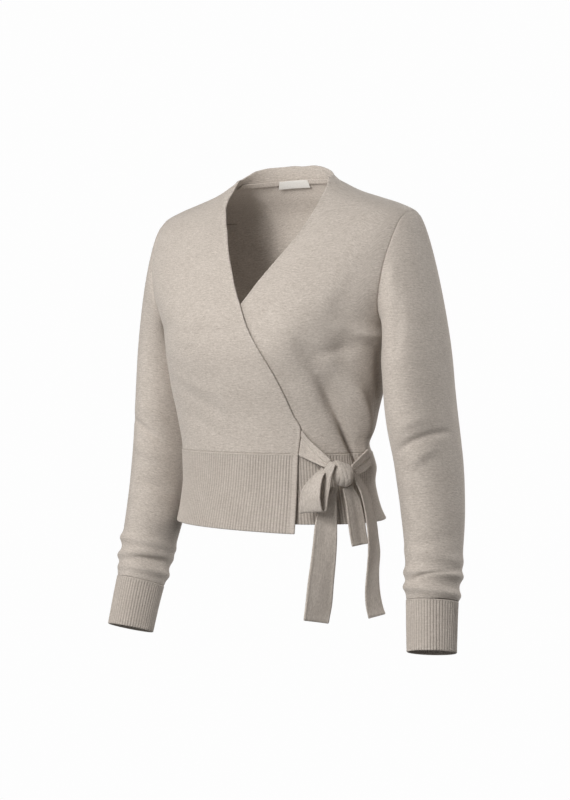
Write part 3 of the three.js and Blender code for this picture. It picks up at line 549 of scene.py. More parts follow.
def sleeve_grid(who, cap, marks):
    """Rings from the armhole over the cap to the arm, then down to the cuff."""
    arm, N = Arm(who), 2 * ARM_ROWS
    sgn, k = arm.sgn, 360 * np.arange(N) / N
    t, z = hole(k)
    p0 = place(t, z)
    p0 = p0 * [sgn, 1, 1] if sgn > 0 else place(t, z) * [-1, 1, 1]
    p0 = p0 + np.array([sgn * 0.25, 0, 0])
    p1 = arm.ring(0.0, k)
    L = np.linalg.norm(p1 - p0, axis=-1, keepdims=True)
    low = ((1 - np.cos(k * DEG)) / 2)[:, None]
    d0 = unit(np.stack([np.full(N, float(sgn)), -0.12 * np.sin(k * DEG), -mix(1, 1.35, low[:, 0])], -1))
    d1 = arm.line.way(0.0)
    m0, m1 = L * mix(0.28 if who == "left" else 0.34, 0.8, low), L * 0.85
    rows = []
    for tt in cap:
        t2, t3 = tt * tt, tt**3
        rows.append(p0 * (2 * t3 - 3 * t2 + 1) + d0 * m0 * (t3 - 2 * t2 + tt) + p1 * (3 * t2 - 2 * t3) + d1 * m1 * (t3 - t2))
    s = np.asarray(marks)[:, None]
    rest = arm.ring(s, k[None, :], arm.rolls(s, k[None, :]))
    P = np.concatenate([np.stack(rows), rest])
    K = np.broadcast_to(k[None, :], P.shape[:2])
    lift = 0.0
    for f in rows_of(ARM_CREASES[who]):
        lift = lift + bent(K, P[..., 2], f, ("k0", "z0", "k1", "z1", "k2", "z2"), 0.85, 360)
    fade = np.concatenate([ease(np.asarray(cap) / 0.25), np.ones(len(marks))])[:, None]
    P = P + grid_normals(P, True, sgn)[..., :] * (lift * fade)[..., None]
    return P if sgn > 0 else P[:, ::-1], arm


def cuff_grid(who, cols, rows):
    arm = Arm(who)
    s = mix(CUFF_TOP + 0.0005, 1.0, np.asarray(rows))[:, None]
    k = (360 * np.arange(cols) / cols)[None, :]
    P = arm.ring(s, k)
    return P if arm.sgn > 0 else P[:, ::-1]


def grid_normals(P, closed, sgn=1):
    du = np.roll(P, -1, 1) - np.roll(P, 1, 1) if closed else np.gradient(P, axis=1)
    return unit(np.cross(du, np.gradient(P, axis=0))) * sgn


FACES = KNOT["faces"] * DEG
BOW_U = np.array([math.cos(FACES), math.sin(FACES), 0.0])
BOW_W = np.array([math.sin(FACES), -math.cos(FACES), 0.0])


def bow(u, w, z):
    u, w, z = np.broadcast_arrays(u, w, z)
    o = np.array([KNOT["x"], KNOT["y"], KNOT["z"]])
    return o + u[..., None] * BOW_U + w[..., None] * BOW_W + z[..., None] * np.array([0, 0, 1.0])


def ribbon(tab, long, across, from_b=False, shape=None):
    """A flat band through its sections. shape(s, k) lifts it off its own plane: s along, k across from edge a."""
    a = Line(bow(tab["ua"], tab["wa"], tab["za"]))
    b = Line(bow(tab["ub"], tab["wb"], tab["zb"]))
    s = np.linspace(0, 1, long)
    A, B = a.raw_at(s)[:, None], b.raw_at(s)[:, None]
    k = np.linspace(0, 1, across)[None, :, None]
    if from_b:
        k = 1 - k
    P = A + (B - A) * k
    if shape:
        P = P + grid_normals(P, False) * shape(s[:, None], k[..., 0])[..., None]
    return P


# ================================================================ end of form


def noise(x, y, seed, octaves=3):
    """Smooth unevenness from a few waves, the same on each run."""
    rng = np.random.default_rng(seed)
    out, total = 0.0, 0.0
    for o in range(octaves):
        for _ in range(3):
            a, ph, f = rng.uniform(0, 2 * math.pi), rng.uniform(0, 2 * math.pi), 2.0**o * rng.uniform(0.8, 1.25)
            out = out + np.sin((x * math.cos(a) + y * math.sin(a)) * f + ph) / 2**o
            total += 1 / 2**o
    return out / total * 1.6


# ---------------------------------------------------------------- shells
def shell(name, P, thick, closed=False, rim=(1, 1, 1, 1), sink=(0, 0, 0, 0), material=None, uv_at=(0.0, 0.0), turn_uv=False, rise=None, up=False):
    """A closed thin wall: P is its outer face, rows by columns, in mm. rim is how round each border is and sink how
    far it dips into its seam, in the order first row, last column, last row, first column."""
    def close_up(A):
        """A narrow row beside each border that lies tight against its neighbour, so that the face runs flat to it."""
        if rim[0] < 0.15:
            A = np.concatenate([A[:1], mix(A[:1], A[1:2], 0.08), A[1:]], 0)
        if rim[2] < 0.15:
            A = np.concatenate([A[:-1], mix(A[-1:], A[-2:-1], 0.08), A[-1:]], 0)
        if rim[1] < 0.15 and not closed:
            A = np.concatenate([A[:, :-1], mix(A[:, -1:], A[:, -2:-1], 0.08), A[:, -1:]], 1)
        if rim[3] < 0.15 and not closed:
            A = np.concatenate([A[:, :1], mix(A[:, :1], A[:, 1:2], 0.08), A[:, 1:]], 1)
        return A

    P = close_up(P)
    rise = None if rise is None else close_up(rise)
    R, C = P.shape[:2]
    n = grid_normals(P, closed)
    ring = np.concatenate([P, P[:, :1]], 1) if closed else P
    du = np.linalg.norm(np.diff(ring, axis=1), axis=-1)
    dv = np.linalg.norm(np.diff(P, axis=0), axis=-1)
    U = np.concatenate([np.zeros((R, 1)), np.cumsum(du, 1)], 1)
    U = U - U[:, C // 2 : C // 2 + 1]
    V = np.concatenate([np.zeros((1, C)), np.cumsum(dv, 0)], 0)
    if up:
        V = V - V[-1:]
    wide = 1.8
    dip = np.zeros((R, C))
    if sink[0]:
        dip += sink[0] * np.exp(-(((V - V[:1]) / wide) ** 2))
    if sink[2]:
        dip += sink[2] * np.exp(-(((V[-1:] - V) / wide) ** 2))
    if not closed:
        if sink[3]:
            dip += sink[3] * np.exp(-(((U[:, :C] - U[:, :1]) / wide) ** 2))
        if sink[1]:
            dip += sink[1] * np.exp(-(((U[:, C - 1 : C] - U[:, :C]) / wide) ** 2))
    O = P - n * dip[..., None]
    I = P - n * (thick + dip[..., None] * 0.2)
    verts = [O.reshape(-1, 3), I.reshape(-1, 3)]
    ids = np.arange(R * C).reshape(R, C)
    jd = ids + R * C
    Vc = np.concatenate([V, V[:, :1]], 1) if closed else V
    W = C if closed else C - 1
    i0, j0 = np.meshgrid(np.arange(R - 1), np.arange(W), indexing="ij")
    i0, j0 = i0.ravel(), j0.ravel()
    j1 = (j0 + 1) % C
    faces = [np.stack([ids[i0, j0], ids[i0, j1], ids[i0 + 1, j1], ids[i0 + 1, j0]], 1)]
    faces.append(np.stack([jd[i0, j0], jd[i0 + 1, j0], jd[i0 + 1, j1], jd[i0, j1]], 1))

    def corners(ii, jj):
        return np.stack([U[ii, jj], Vc[ii, np.minimum(jj, Vc.shape[1] - 1)]], -1)

    def share(ii, jj, low, high):
        return np.stack([0.01 + 0.98 * jj / W, low + (high - low) * ii / (R - 1)], -1)

    uv = [np.stack([corners(i0, j0), corners(i0, j0 + 1), corners(i0 + 1, j0 + 1), corners(i0 + 1, j0)], 1)]
    uv.append(np.stack([corners(i0, j0), corners(i0 + 1, j0), corners(i0 + 1, j0 + 1), corners(i0, j0 + 1)], 1) + [7.0, 3.0])
    bake = [np.stack([share(i0, j0, 0.53, 0.99), share(i0, j0 + 1, 0.53, 0.99), share(i0 + 1, j0 + 1, 0.53, 0.99), share(i0 + 1, j0, 0.53, 0.99)], 1)]
    bake.append(np.stack([share(i0, j0, 0.01, 0.44), share(i0 + 1, j0, 0.01, 0.44), share(i0 + 1, j0 + 1, 0.01, 0.44), share(i0, j0 + 1, 0.01, 0.44)], 1))

    # borders
    down, up = unit(P[0] - P[1]), unit(P[-1] - P[-2])
    loops = []
    if closed:
        loops.append([(0, j, down[j], rim[0]) for j in range(C)])
        loops.append([(R - 1, j, up[j], rim[2]) for j in range(C - 1, -1, -1)])
    else:
        right, left = unit(P[:, -1] - P[:, -2]), unit(P[:, 0] - P[:, 1])
        path = [(0, j, down[j], rim[0]) for j in range(C - 1)]
        path += [(i, C - 1, right[i], rim[1]) for i in range(R - 1)]
        path += [(R - 1, j, up[j], rim[2]) for j in range(C - 1, 0, -1)]
        path += [(i, 0, left[i], rim[3]) for i in range(R - 1, 0, -1)]
        at = {(a, b): i for i, (a, b, _, _) in enumerate(path)}
        for (a, b), e, r in (
            ((0, C - 1), down[-1] + right[0], (rim[0] + rim[1]) / 2), ((R - 1, C - 1), right[-1] + up[-1], (rim[1] + rim[2]) / 2),
            ((R - 1, 0), up[0] + left[-1], (rim[2] + rim[3]) / 2), ((0, 0), left[0] + down[0], (rim[3] + rim[0]) / 2),
        ):
            path[at[a, b]] = (a, b, unit(e), r)
        loops.append(path)
    count, strip0 = 2 * R * C, 0
    high = None if rise is None else [rise.ravel(), rise.ravel()]
    for path in loops:
        ii, jj = np.array([p[0] for p in path]), np.array([p[1] for p in path])
        e, r = np.array([p[2] for p in path]), np.array([p[3] for p in path], float)
        o, q = O[ii, jj], I[ii, jj]
        mid, arm = (o + q) / 2, (o - q) / 2
        size = np.linalg.norm(arm, axis=-1, keepdims=True)
        before, rings = ids[ii, jj], []
        for th in (50 * DEG, 90 * DEG, 130 * DEG):
            verts.append(mid + arm * math.cos(th) + e * size * math.sin(th) * r[:, None])
            rings.append(np.arange(count, count + len(path)))
            if high:
                high.append(rise[ii, jj])
            count += len(path)
        rings.append(jd[ii, jj])
        nxt = np.roll(np.arange(len(path)), -1)
        x = np.arange(len(path)) / len(path)
        for m, cur in enumerate(rings):
            faces.append(np.stack([before, cur, cur[nxt], before[nxt]], 1))
            a = np.stack([U[ii, jj] + e[:, 2] * 0.4 * m, V[ii, jj] - 0.6 * m], -1)
            uv.append(np.stack([a, a + [0, -0.6], a[nxt] + [0, -0.6], a[nxt]], 1))
            y0, y1 = 0.455 + 0.012 * m + 0.05 * strip0 * 0, 0.455 + 0.012 * (m + 1)
            lo, hi = (0.01, 0.49) if strip0 == 0 and closed else (0.51, 0.99) if closed else (0.01, 0.99)
            xa, xb = lo + (hi - lo) * x, lo + (hi - lo) * (x + 1 / len(path))
            bake.append(np.stack([np.stack([xa, np.full_like(xa, y0)], -1), np.stack([xa, np.full_like(xa, y1)], -1), np.stack([xb, np.full_like(xb, y1)], -1), np.stack([xb, np.full_like(xb, y0)], -1)], 1))
            before = cur
        strip0 += 1
    V3 = np.vstack(verts) * 0.001
    F = np.vstack(faces)
    mesh = bpy.data.meshes.new(name)
    mesh.vertices.add(len(V3))
    mesh.vertices.foreach_set("co", V3.astype(np.float32).ravel())
    mesh.loops.add(F.size)
    mesh.loops.foreach_set("vertex_index", F.astype(np.int32).ravel())
    mesh.polygons.add(len(F))
    mesh.polygons.foreach_set("loop_start", np.arange(0, F.size, 4, dtype=np.int32))
    mesh.polygons.foreach_set("use_smooth", np.ones(len(F), bool))
    mesh.update()
    for label, data, scale in (("Knit", np.vstack(uv), 0.001), ("OFBake", np.vstack(bake), 1.0)):
        layer = mesh.uv_layers.new(name=label)
        d = data.reshape(-1, 2) * scale
        if label == "Knit":
            d = (d[:, ::-1] if turn_uv else d) + np.array(uv_at)
        layer.data.foreach_set("uv", d.astype(np.float32).ravel())
    # Rise: how high each point lies in its rib; the ribbed material paints shade into the colour where it is low.
    if high:
        layer = mesh.attributes.new("Rise", "FLOAT", "POINT")
        layer.data.foreach_set("value", np.concatenate(high).astype(np.float32))
    mesh.validate()
    obj = bpy.data.objects.new(name, mesh)
    bpy.context.scene.collection.objects.link(obj)
    if material:
        obj.data.materials.append(material)
    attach(obj, "root")
    return obj


# ---------------------------------------------------------------- materials
class Tree:
    """Short words for a material's nodes."""

    def __init__(self, name):
        self.mat = bpy.data.materials.new(name)
        self.mat.use_nodes = True
        self.nt = self.mat.node_tree
        self.nt.nodes.clear()

    def node(self, kind, **values):
        n = self.nt.nodes.new(kind)
        for k, v in values.items():
            setattr(n, k, v)
        return n

    def link(self, a, b):
        self.nt.links.new(a, b)

    def do(self, op, a, b=None, c=None, clamp=False):
        n = self.node("ShaderNodeMath", operation=op, use_clamp=clamp)
        for i, v in enumerate((a, b, c)):
            if v is None:
                continue
            if isinstance(v, (int, float)):
                n.inputs[i].default_value = v
            else:
                self.link(v, n.inputs[i])
        return n.outputs[0]

    def noise(self, vec, scale, detail=2.0, rough=0.5):
        n = self.node("ShaderNodeTexNoise")
        n.inputs["Scale"].default_value = scale
        n.inputs["Detail"].default_value = detail
        n.inputs["Roughness"].default_value = rough
        self.link(vec, n.inputs["Vector"])
        return n.outputs[0]

    def scaled(self, vec, xyz):
        n = self.node("ShaderNodeVectorMath", operation="MULTIPLY")
        n.inputs[1].default_value = xyz
        self.link(vec, n.inputs[0])
        return n.outputs[0]


def knit_material(name, tint, wale=0.00195, course=0.0015, depth=0.00035, streak=1.0, sheen=0.25, valley_shade=0.0):
    """Heather knit: stitches as legs of a V down each wale, marled fibres, a soft bloom, and, for ribbed bands, painted
    shade darkening the colour in the ribs' valleys.
    """
    t = Tree(name)
    uv = t.node("ShaderNodeUVMap", uv_map="Knit").outputs[0]
    sep = t.node("ShaderNodeSeparateXYZ")
    t.link(uv, sep.inputs[0])
    u, v = sep.outputs[0], sep.outputs[1]
    wob = t.noise(t.scaled(uv, (90, 90, 1)), 1.0, 1.0)
    x = t.do("FRACT", t.do("ADD", t.do("DIVIDE", u, wale), t.do("MULTIPLY", wob, 0.5)))
    a = t.do("MULTIPLY", t.do("ABSOLUTE", t.do("SUBTRACT", x, 0.5)), 2.0)
    y = t.do("FRACT", t.do("ADD", t.do("DIVIDE", v, course), t.do("MULTIPLY", a, -0.55)))
    leg = t.do("SINE", t.do("MULTIPLY", a, math.pi))
    hump = t.do("SINE", t.do("MULTIPLY", y, math.pi))
    stitch = t.do("MULTIPLY", t.do("POWER", t.do("MAXIMUM", leg, 0.0), 0.6), t.do("ADD", 0.35, t.do("MULTIPLY", hump, 0.65)))
    fine = t.noise(t.scaled(uv, (1, 1, 1)), 1500.0, 2.0, 0.6)
    along = t.noise(t.scaled(uv, (110, 620, 1)), 1.0, 2.0, 0.6)
    marl = t.noise(t.scaled(uv, (330, 560, 1)), 1.0, 3.0, 0.65)
    cloud = t.noise(t.scaled(uv, (26, 44, 1)), 1.0, 3.0, 0.55)
    tone = t.do("ADD", t.do("MULTIPLY", t.do("SUBTRACT", along, 0.5), 0.75 * streak), t.do("MULTIPLY", t.do("SUBTRACT", marl, 0.5), 1.0 * streak))
    tone = t.do("ADD", tone, t.do("MULTIPLY", t.do("SUBTRACT", fine, 0.5), 0.8))
    tone = t.do("ADD", tone, t.do("MULTIPLY", t.do("SUBTRACT", cloud, 0.5), 0.24))
    tone = t.do("ADD", tone, t.do("MULTIPLY", t.do("SUBTRACT", stitch, 0.6), 0.22))
    pick = t.do("ADD", tone, 0.5, clamp=True)
    ramp = t.node("ShaderNodeValToRGB")
    r, g, b = tint
    ramp.color_ramp.elements[0].position, ramp.color_ramp.elements[1].position = 0.0, 1.0
    ramp.color_ramp.elements[0].color = (r * 0.60, g * 0.575, b * 0.55, 1)
    ramp.color_ramp.elements[1].color = (min(r * 1.40, 1), min(g * 1.425, 1), min(b * 1.45, 1), 1)
    mid = ramp.color_ramp.elements.new(0.5)
    mid.color = (r, g, b, 1)
    t.link(pick, ramp.inputs[0])
    colour = ramp.outputs[0]
    # Painted shade: where the rib's Rise is low, down in the valleys between ribs, the colour is mixed towards a deep
    # brown of the knit's own tint.
    if valley_shade:
        rise = t.node("ShaderNodeAttribute", attribute_name="Rise")
        low = t.do("MULTIPLY", t.do("SUBTRACT", 1.0, rise.outputs["Fac"], clamp=True), valley_shade)
        valley_shade_mix = t.node("ShaderNodeMix", data_type="RGBA")
        t.link(low, valley_shade_mix.inputs[0])
        t.link(colour, valley_shade_mix.inputs[6])
        valley_shade_mix.inputs[7].default_value = (r * 0.22, g * 0.2, b * 0.18, 1)
        colour = valley_shade_mix.outputs[2]
    s = t.node("ShaderNodeBsdfPrincipled")
    t.link(colour, s.inputs["Base Color"])
    s.inputs["Roughness"].default_value = 0.92
    s.inputs["Specular IOR Level"].default_value = 0.22
    s.inputs["Sheen Weight"].default_value = sheen
    s.inputs["Sheen Roughness"].default_value = 0.55
    s.inputs["Sheen Tint"].default_value = (0.95, 0.92, 0.88, 1)
    height = t.do("ADD", t.do("MULTIPLY", stitch, 0.8), t.do("MULTIPLY", fine, 0.55))
    bump = t.node("ShaderNodeBump")
    bump.inputs["Strength"].default_value = 0.55
    bump.inputs["Distance"].default_value = depth
    t.link(height, bump.inputs["Height"])
    t.link(bump.outputs[0], s.inputs["Normal"])
    out = t.node("ShaderNodeOutputMaterial")
    t.link(s.outputs[0], out.inputs["Surface"])
    return t.mat


OATMEAL = (0.52, 0.468, 0.42)
JERSEY = knit_material("knit_jersey", OATMEAL)
# The ribbed bands carry painted shade in the valleys between their ribs.
RIBBED = knit_material("knit_rib", OATMEAL, wale=0.00195, course=0.0015, depth=0.00030, streak=0.7, valley_shade=0.42)
TIES = knit_material("knit_tie", OATMEAL, wale=0.0017, course=0.0013, depth=0.00030, streak=0.9)


def tape_material():
    t = Tree("woven_tape")
    uv = t.node("ShaderNodeUVMap", uv_map="Knit").outputs[0]
    sep = t.node("ShaderNodeSeparateXYZ")
    t.link(uv, sep.inputs[0])
    warp = t.do("SINE", t.do("MULTIPLY", sep.outputs[0], 2 * math.pi / 0.0006))
    weft = t.do("SINE", t.do("MULTIPLY", sep.outputs[1], 2 * math.pi / 0.0005))
    h = t.do("MULTIPLY", warp, weft)
    n = t.noise(t.scaled(uv, (500, 900, 1)), 1.0)
    ramp = t.node("ShaderNodeValToRGB")
    ramp.color_ramp.elements[0].color = (0.62, 0.60, 0.57, 1)
    ramp.color_ramp.elements[1].color = (0.86, 0.85, 0.82, 1)
    t.link(n, ramp.inputs[0])
    s = t.node("ShaderNodeBsdfPrincipled")
    t.link(ramp.outputs[0], s.inputs["Base Color"])
    s.inputs["Roughness"].default_value = 0.6
    s.inputs["Specular IOR Level"].default_value = 0.4
    bump = t.node("ShaderNodeBump")
    bump.inputs["Strength"].default_value = 0.4
    bump.inputs["Distance"].default_value = 0.0001
    t.link(h, bump.inputs["Height"])
    t.link(bump.outputs[0], s.inputs["Normal"])
    out = t.node("ShaderNodeOutputMaterial")
    t.link(s.outputs[0], out.inputs["Surface"])
    return t.mat


TAPE = tape_material()


def keep(obj, *nodes):
    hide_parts(*nodes)
    return obj


def roll(P, first, width=1.9, out=0.45, groove=3.6, deep=0.05):
    """A band's free edge, slightly rolled, with a faint line beside it. first says which column is free."""
    n = grid_normals(P, False)
    d = np.cumsum(np.concatenate([np.zeros((P.shape[0], 1)), np.linalg.norm(np.diff(P, axis=1), axis=-1)], 1), 1)
    if not first:
        d = d[:, -1:] - d
    lift = out * np.exp(-(((d - 1.0) / width) ** 2)) - deep * np.exp(-(((d - groove) / 0.8) ** 2))
    return P + n * lift[..., None]


keep(shell("right_front_cloth", front_panel("right", 118), WALL, rim=(0.2, 0.05, 0.2, 0.2), sink=(0, 0.02, 0.15, 0.2), material=JERSEY), "right_front")
keep(shell("left_front_cloth", front_panel("left", 112), WALL, rim=(0.2, 0.2, 0.2, 0.05), sink=(0, 0.2, 0.15, 0.02), material=JERSEY), "left_front")
keep(shell("back_cloth", back_panel(134), WALL, rim=(0.2, 0.2, 0.2, 0.2), sink=(0, 0.2, 0.3, 0.2), material=JERSEY), "back")
keep(shell("right_edge_band_knit", roll(edge_band("right", 15), False), BAND_WALL, rim=(0.1, 1, 0.1, 0.1), sink=(0, 0, 0, 0.03), material=JERSEY), "right_edge_band")
keep(shell("left_edge_band_knit", roll(edge_band("left", 15), True), BAND_WALL, rim=(0.1, 0.1, 0.1, 1), sink=(0, 0.03, 0, 0), material=JERSEY), "left_edge_band")


def ribs(P, closed, period=RIB, out=0.85, seed=1, plain=(0, 0), ends=(0, 0)):
    """Ribs down a band, each on its own columns from top to bottom, and how high each point lies in its rib.
    plain leaves the first and last columns smooth, and ends the first and last rows, in mm."""
    R, C = P.shape[:2]
    n = grid_normals(P, closed)
    ring = np.concatenate([P, P[:, :1]], 1) if closed else P
    arc = np.concatenate([[0], np.cumsum(np.linalg.norm(np.diff(ring, axis=1), axis=-1).mean(0))])
    count = round(arc[-1] / period)
    x = (arc[:C] / arc[-1] * count)[None, :]
    down = np.concatenate([np.zeros((1, C)), np.cumsum(np.linalg.norm(np.diff(P, axis=0), axis=-1), 0)], 0)
    sway = 0.05 * np.sin(down / 17 + seed) * np.sin(2 * math.pi * x / count * 4 + seed)
    high = np.abs(np.cos(math.pi * (x + sway))) ** 0.8
    size = 1 + 0.14 * np.sin(2 * math.pi * x / count * 5 + seed * 2.1) * np.sin(down / 23 + seed)
    keep_ = np.ones((R, C))
    if plain[0]:
        keep_ = keep_ * ease((arc[:C] - plain[0]) / 1.5)[None, :]
    if plain[1]:
        keep_ = keep_ * ease((arc[-1] - arc[:C] - plain[1]) / 1.5)[None, :]
    if ends[0]:
        keep_ = keep_ * ease((down - ends[0] * 0.4) / ends[0])
    if ends[1]:
        keep_ = keep_ * ease((down[-1:] - down - ends[1] * 0.4) / ends[1])
    lift = (high - 0.62) * out * size * keep_
    return P + n * lift[..., None], mix(1.0, high, keep_)


def brim(P, closed, out=0.5, wide=0.9, away=0.8, last=True):
    """A fine raised line along the seam where the ribs begin."""
    n = grid_normals(P, closed)
    down = np.concatenate([np.zeros((1, P.shape[1])), np.cumsum(np.linalg.norm(np.diff(P, axis=0), axis=-1), 0)], 0)
    d = down[-1:] - down if last else down
    return P + n * (out * np.exp(-(((d - away) / wide) ** 2)))[..., None]


def at(turn):
    return lambda z: turn + 0 * z


HEM_EDGE = 6.5
HEM_ROWS = np.concatenate([[0, 0.006, 0.013, 0.024, 0.04], np.linspace(0.065, 0.935, 22), [0.956, 0.968, 0.977, 0.985, 0.993, 1]])
P, high = ribs(hem_grid(at(-90 + GAP), right_edge, 640, HEM_ROWS, outer_hem, hang), False, seed=4, plain=(0, HEM_EDGE), ends=(0, 1.6))
keep(shell("right_front_hem_rib", roll(brim(P, False), False, groove=HEM_EDGE - 1, deep=0.3), BAND_WALL, rim=(1, 1, 0.2, 0.2), sink=(0, 0, 0, 0.2), material=RIBBED, rise=high), "right_front_hem")
P, high = ribs(hem_grid(left_edge, at(90 - GAP), 640, HEM_ROWS, inner_hem, flat), False, seed=5, ends=(0, 1.6))
keep(shell("left_front_hem_rib", brim(P, False), BAND_WALL, rim=(1, 0.2, 0.2, 1), sink=(0, 0.2, 0, 0), material=RIBBED, rise=high), "left_front_hem")
P, high = ribs(hem_grid(at(90 + GAP), at(270 - GAP), 740, HEM_ROWS, inner_hem, flat), False, seed=6, ends=(0, 1.6))
keep(shell("back_hem_rib", brim(P, False), BAND_WALL, rim=(1, 0.2, 0.2, 0.2), sink=(0, 0.2, 0, 0.2), material=RIBBED, rise=high), "back_hem")


def top_roll(P, out=0.45, width=1.9):
    """The neckband's free top edge, rolled as the front edges are."""
    n = grid_normals(P, False)
    down = np.concatenate([np.zeros((1, P.shape[1])), np.cumsum(np.linalg.norm(np.diff(P, axis=0), axis=-1), 0)], 0)
    d = down[-1:] - down
    return P + n * (out * np.exp(-(((d - 1.0) / width) ** 2)))[..., None]


keep(shell("neckband_knit", top_roll(neck_band(14, 110, 16)), BAND_WALL, rim=(0.1, 0.12, 1, 0.12), material=JERSEY), "neckband")
keep(shell("neck_tape_knit", neck_strip(92, 267, 110, 7, 2, -2.6, WALL + 0.8), 1.5, rim=(1, 1, 1, 1), material=TIES, turn_uv=True), "neck_tape")
keep(shell("label_blank", neck_strip(159, 219, 50, 12, 2, -6.4, WALL + 0.8 + 1.5 + 0.5), 0.7, rim=(1, 1, 1, 1), material=TAPE), "label")

CUFF_ROWS = np.concatenate([[0, 0.008, 0.017, 0.028, 0.042], np.linspace(0.07, 0.94, 22), [0.965, 0.984, 1]])
for who in ("left", "right"):
    cap = np.linspace(0, 1, 48)
    marks = np.concatenate([np.linspace(0, 0.62, 110)[1:], np.linspace(0.62, CUFF_TOP - 0.0005, 76)[1:]])
    P, arm = sleeve_grid(who, cap, marks)
    keep(shell(who + "_sleeve_cloth", P, WALL, closed=True, rim=(0.2, 0, 0.2, 0), sink=(0.55, 0, 0.5, 0), material=JERSEY, up=True), who + "_sleeve")
    P, high = ribs(cuff_grid(who, 56 * 8, CUFF_ROWS), True, period=3.7, out=0.85, seed=7, ends=(1.6, 0))
    keep(shell(who + "_cuff_rib", brim(P, True, last=False), BAND_WALL, closed=True, rim=(0.2, 0, 1, 0), sink=(0.2, 0, 0, 0), material=RIBBED, rise=high), who + "_cuff")

# ---------------------------------------------------------------- ties and bow
def rolled(k, out=0.7, wide=0.06):
    """Both long edges of a tie, rolled a little outwards."""
    return out * (np.exp(-(((k - 0.035) / wide) ** 2)) + np.exp(-(((k - 0.965) / wide) ** 2)))


def tie_right_shape(s, k):
    # its upper part lies folded over the rest: the fold runs down towards the lower edge, soft first and sharp by the knot
    at_k, soft = 0.27 + 0.33 * s**1.5, mix(0.12, 0.05, s)
    return 1.3 * (1 - ease((k - at_k + soft / 2) / soft)) - mix(1.2, 0.6, s) * np.exp(-(((k - at_k - 0.07) / mix(0.1, 0.06, s)) ** 2)) + rolled(k, 0.3, 0.05)


def tie_left_shape(s, k):
    return 1.1 * (1 - ease((k - 0.42 + 0.08 * s) / 0.07)) - 0.9 * np.exp(-(((k - 0.52 + 0.08 * s) / 0.07) ** 2)) + rolled(k, 0.4, 0.06) + 0.4 * s * np.sin(5 * k)


def loop_shape(s, k):
    return rolled(k, 0.55, 0.05) - 0.9 * np.sin(math.pi * k) * np.sin(math.pi * np.clip(s / 0.45, 0, 1)) ** 2 + 0.35 * np.sin(22 * s + 1) * (k - 0.4)


def tail_left_shape(s, k):
    soft = 0.8 * np.exp(-(((k - 0.42 - 0.1 * s) / 0.24) ** 2)) * np.sin(9.5 * s + 0.6) + 0.5 * np.exp(-(((s - 0.03) / 0.09) ** 2)) * np.cos(14 * k)
    return rolled(k, 0.5, 0.035) + soft + 0.4 * np.exp(-(((s - 0.985) / 0.02) ** 2))


def tail_right_shape(s, k):
    soft = 0.7 * np.exp(-(((k - 0.6) / 0.3) ** 2)) * np.sin(10 * s + 2.4)
    return rolled(k, 0.6, 0.045) + soft + 0.4 * np.exp(-(((s - 0.985) / 0.02) ** 2))


def short_end_shape(s, k):
    return rolled(k, 0.5, 0.045) - 0.8 * np.exp(-(((k - 0.62) / 0.2) ** 2)) * ease(s / 0.3) + 0.4 * np.exp(-(((s - 0.98) / 0.03) ** 2))


keep(shell("tie_right_band", ribbon(TIE_RIGHT, 46, 48, False, tie_right_shape), TIE_WALL, material=TIES, turn_uv=True), "tie_right")
keep(shell("tie_left_band", ribbon(TIE_LEFT, 38, 42, True, tie_left_shape), TIE_WALL, material=TIES, turn_uv=True), "tie_left")
keep(shell("loop_band", ribbon(LOOP, 140, 30, True, loop_shape), 2.2, material=TIES, turn_uv=True), "loop")
keep(shell("short_end_band", ribbon(SHORT_END, 56, 30, True, short_end_shape), 2.2, material=TIES, turn_uv=True), "short_end")
keep(shell("tail_left_band", ribbon(TAIL_LEFT, 100, 32, True, tail_left_shape), 2.2, material=TIES, turn_uv=True), "tail_left")
keep(shell("tail_right_band", ribbon(TAIL_RIGHT, 110, 30, True, tail_right_shape), 2.2, material=TIES, turn_uv=True), "tail_right")

# Grooves between the turns of the wrap: where along the knot, how deep, how wide, and how far they lean with height.
PLEATS = table("u deep wide lean", (-7.2, 1.3, 1.0, 0.24), (-2.6, 0.8, 0.9, 0.34), (1.6, 0.45, 0.8, 0.30), (8.6, 0.3, 1.2, 0.2))


def knot_grid(rows, cols):
    """The tie wrapped round itself: rings along u, k round from the front over the top, with the turns of the wrap
    side by side and each a little fuller than its neighbour's edge."""
    u = np.linspace(-12.3, 12.5, rows)
    z, high, w, deep = (through(KNOT_SECTIONS, "u", c)(u)[:, None] for c in ("z", "high", "w", "deep"))
    k = (2 * math.pi * np.arange(cols) / cols)[None, :]
    rise = high * np.sin(k)
    lift = 0.0
    for p in rows_of(PLEATS):
        off = u[:, None] + p["lean"] * rise - p["u"] - 0.5 * np.sin(k + p["u"])
        lift = lift - p["deep"] * np.exp(-((off / p["wide"]) ** 2)) + 0.2 * np.exp(-(((off - 2.4) / 1.5) ** 2))
    lift = lift * ease((12.3 - np.abs(u))[:, None] / 2.5)
    lift = lift - 0.9 * np.exp(-(((k - 5.4) / 0.5) ** 2)) * np.exp(-(((u[:, None] + 6) / 5) ** 2))
    full = 0.91 + 0.09 * np.sin(k)
    return bow(u[:, None] * 0.95 + 0 * k, w + (deep + lift) * np.cos(k), z + (high * full + lift) * np.sin(k))


K = knot_grid(70, 92)
keep(shell("knot_wrap", K, 2.2, closed=True, material=TIES), "knot")

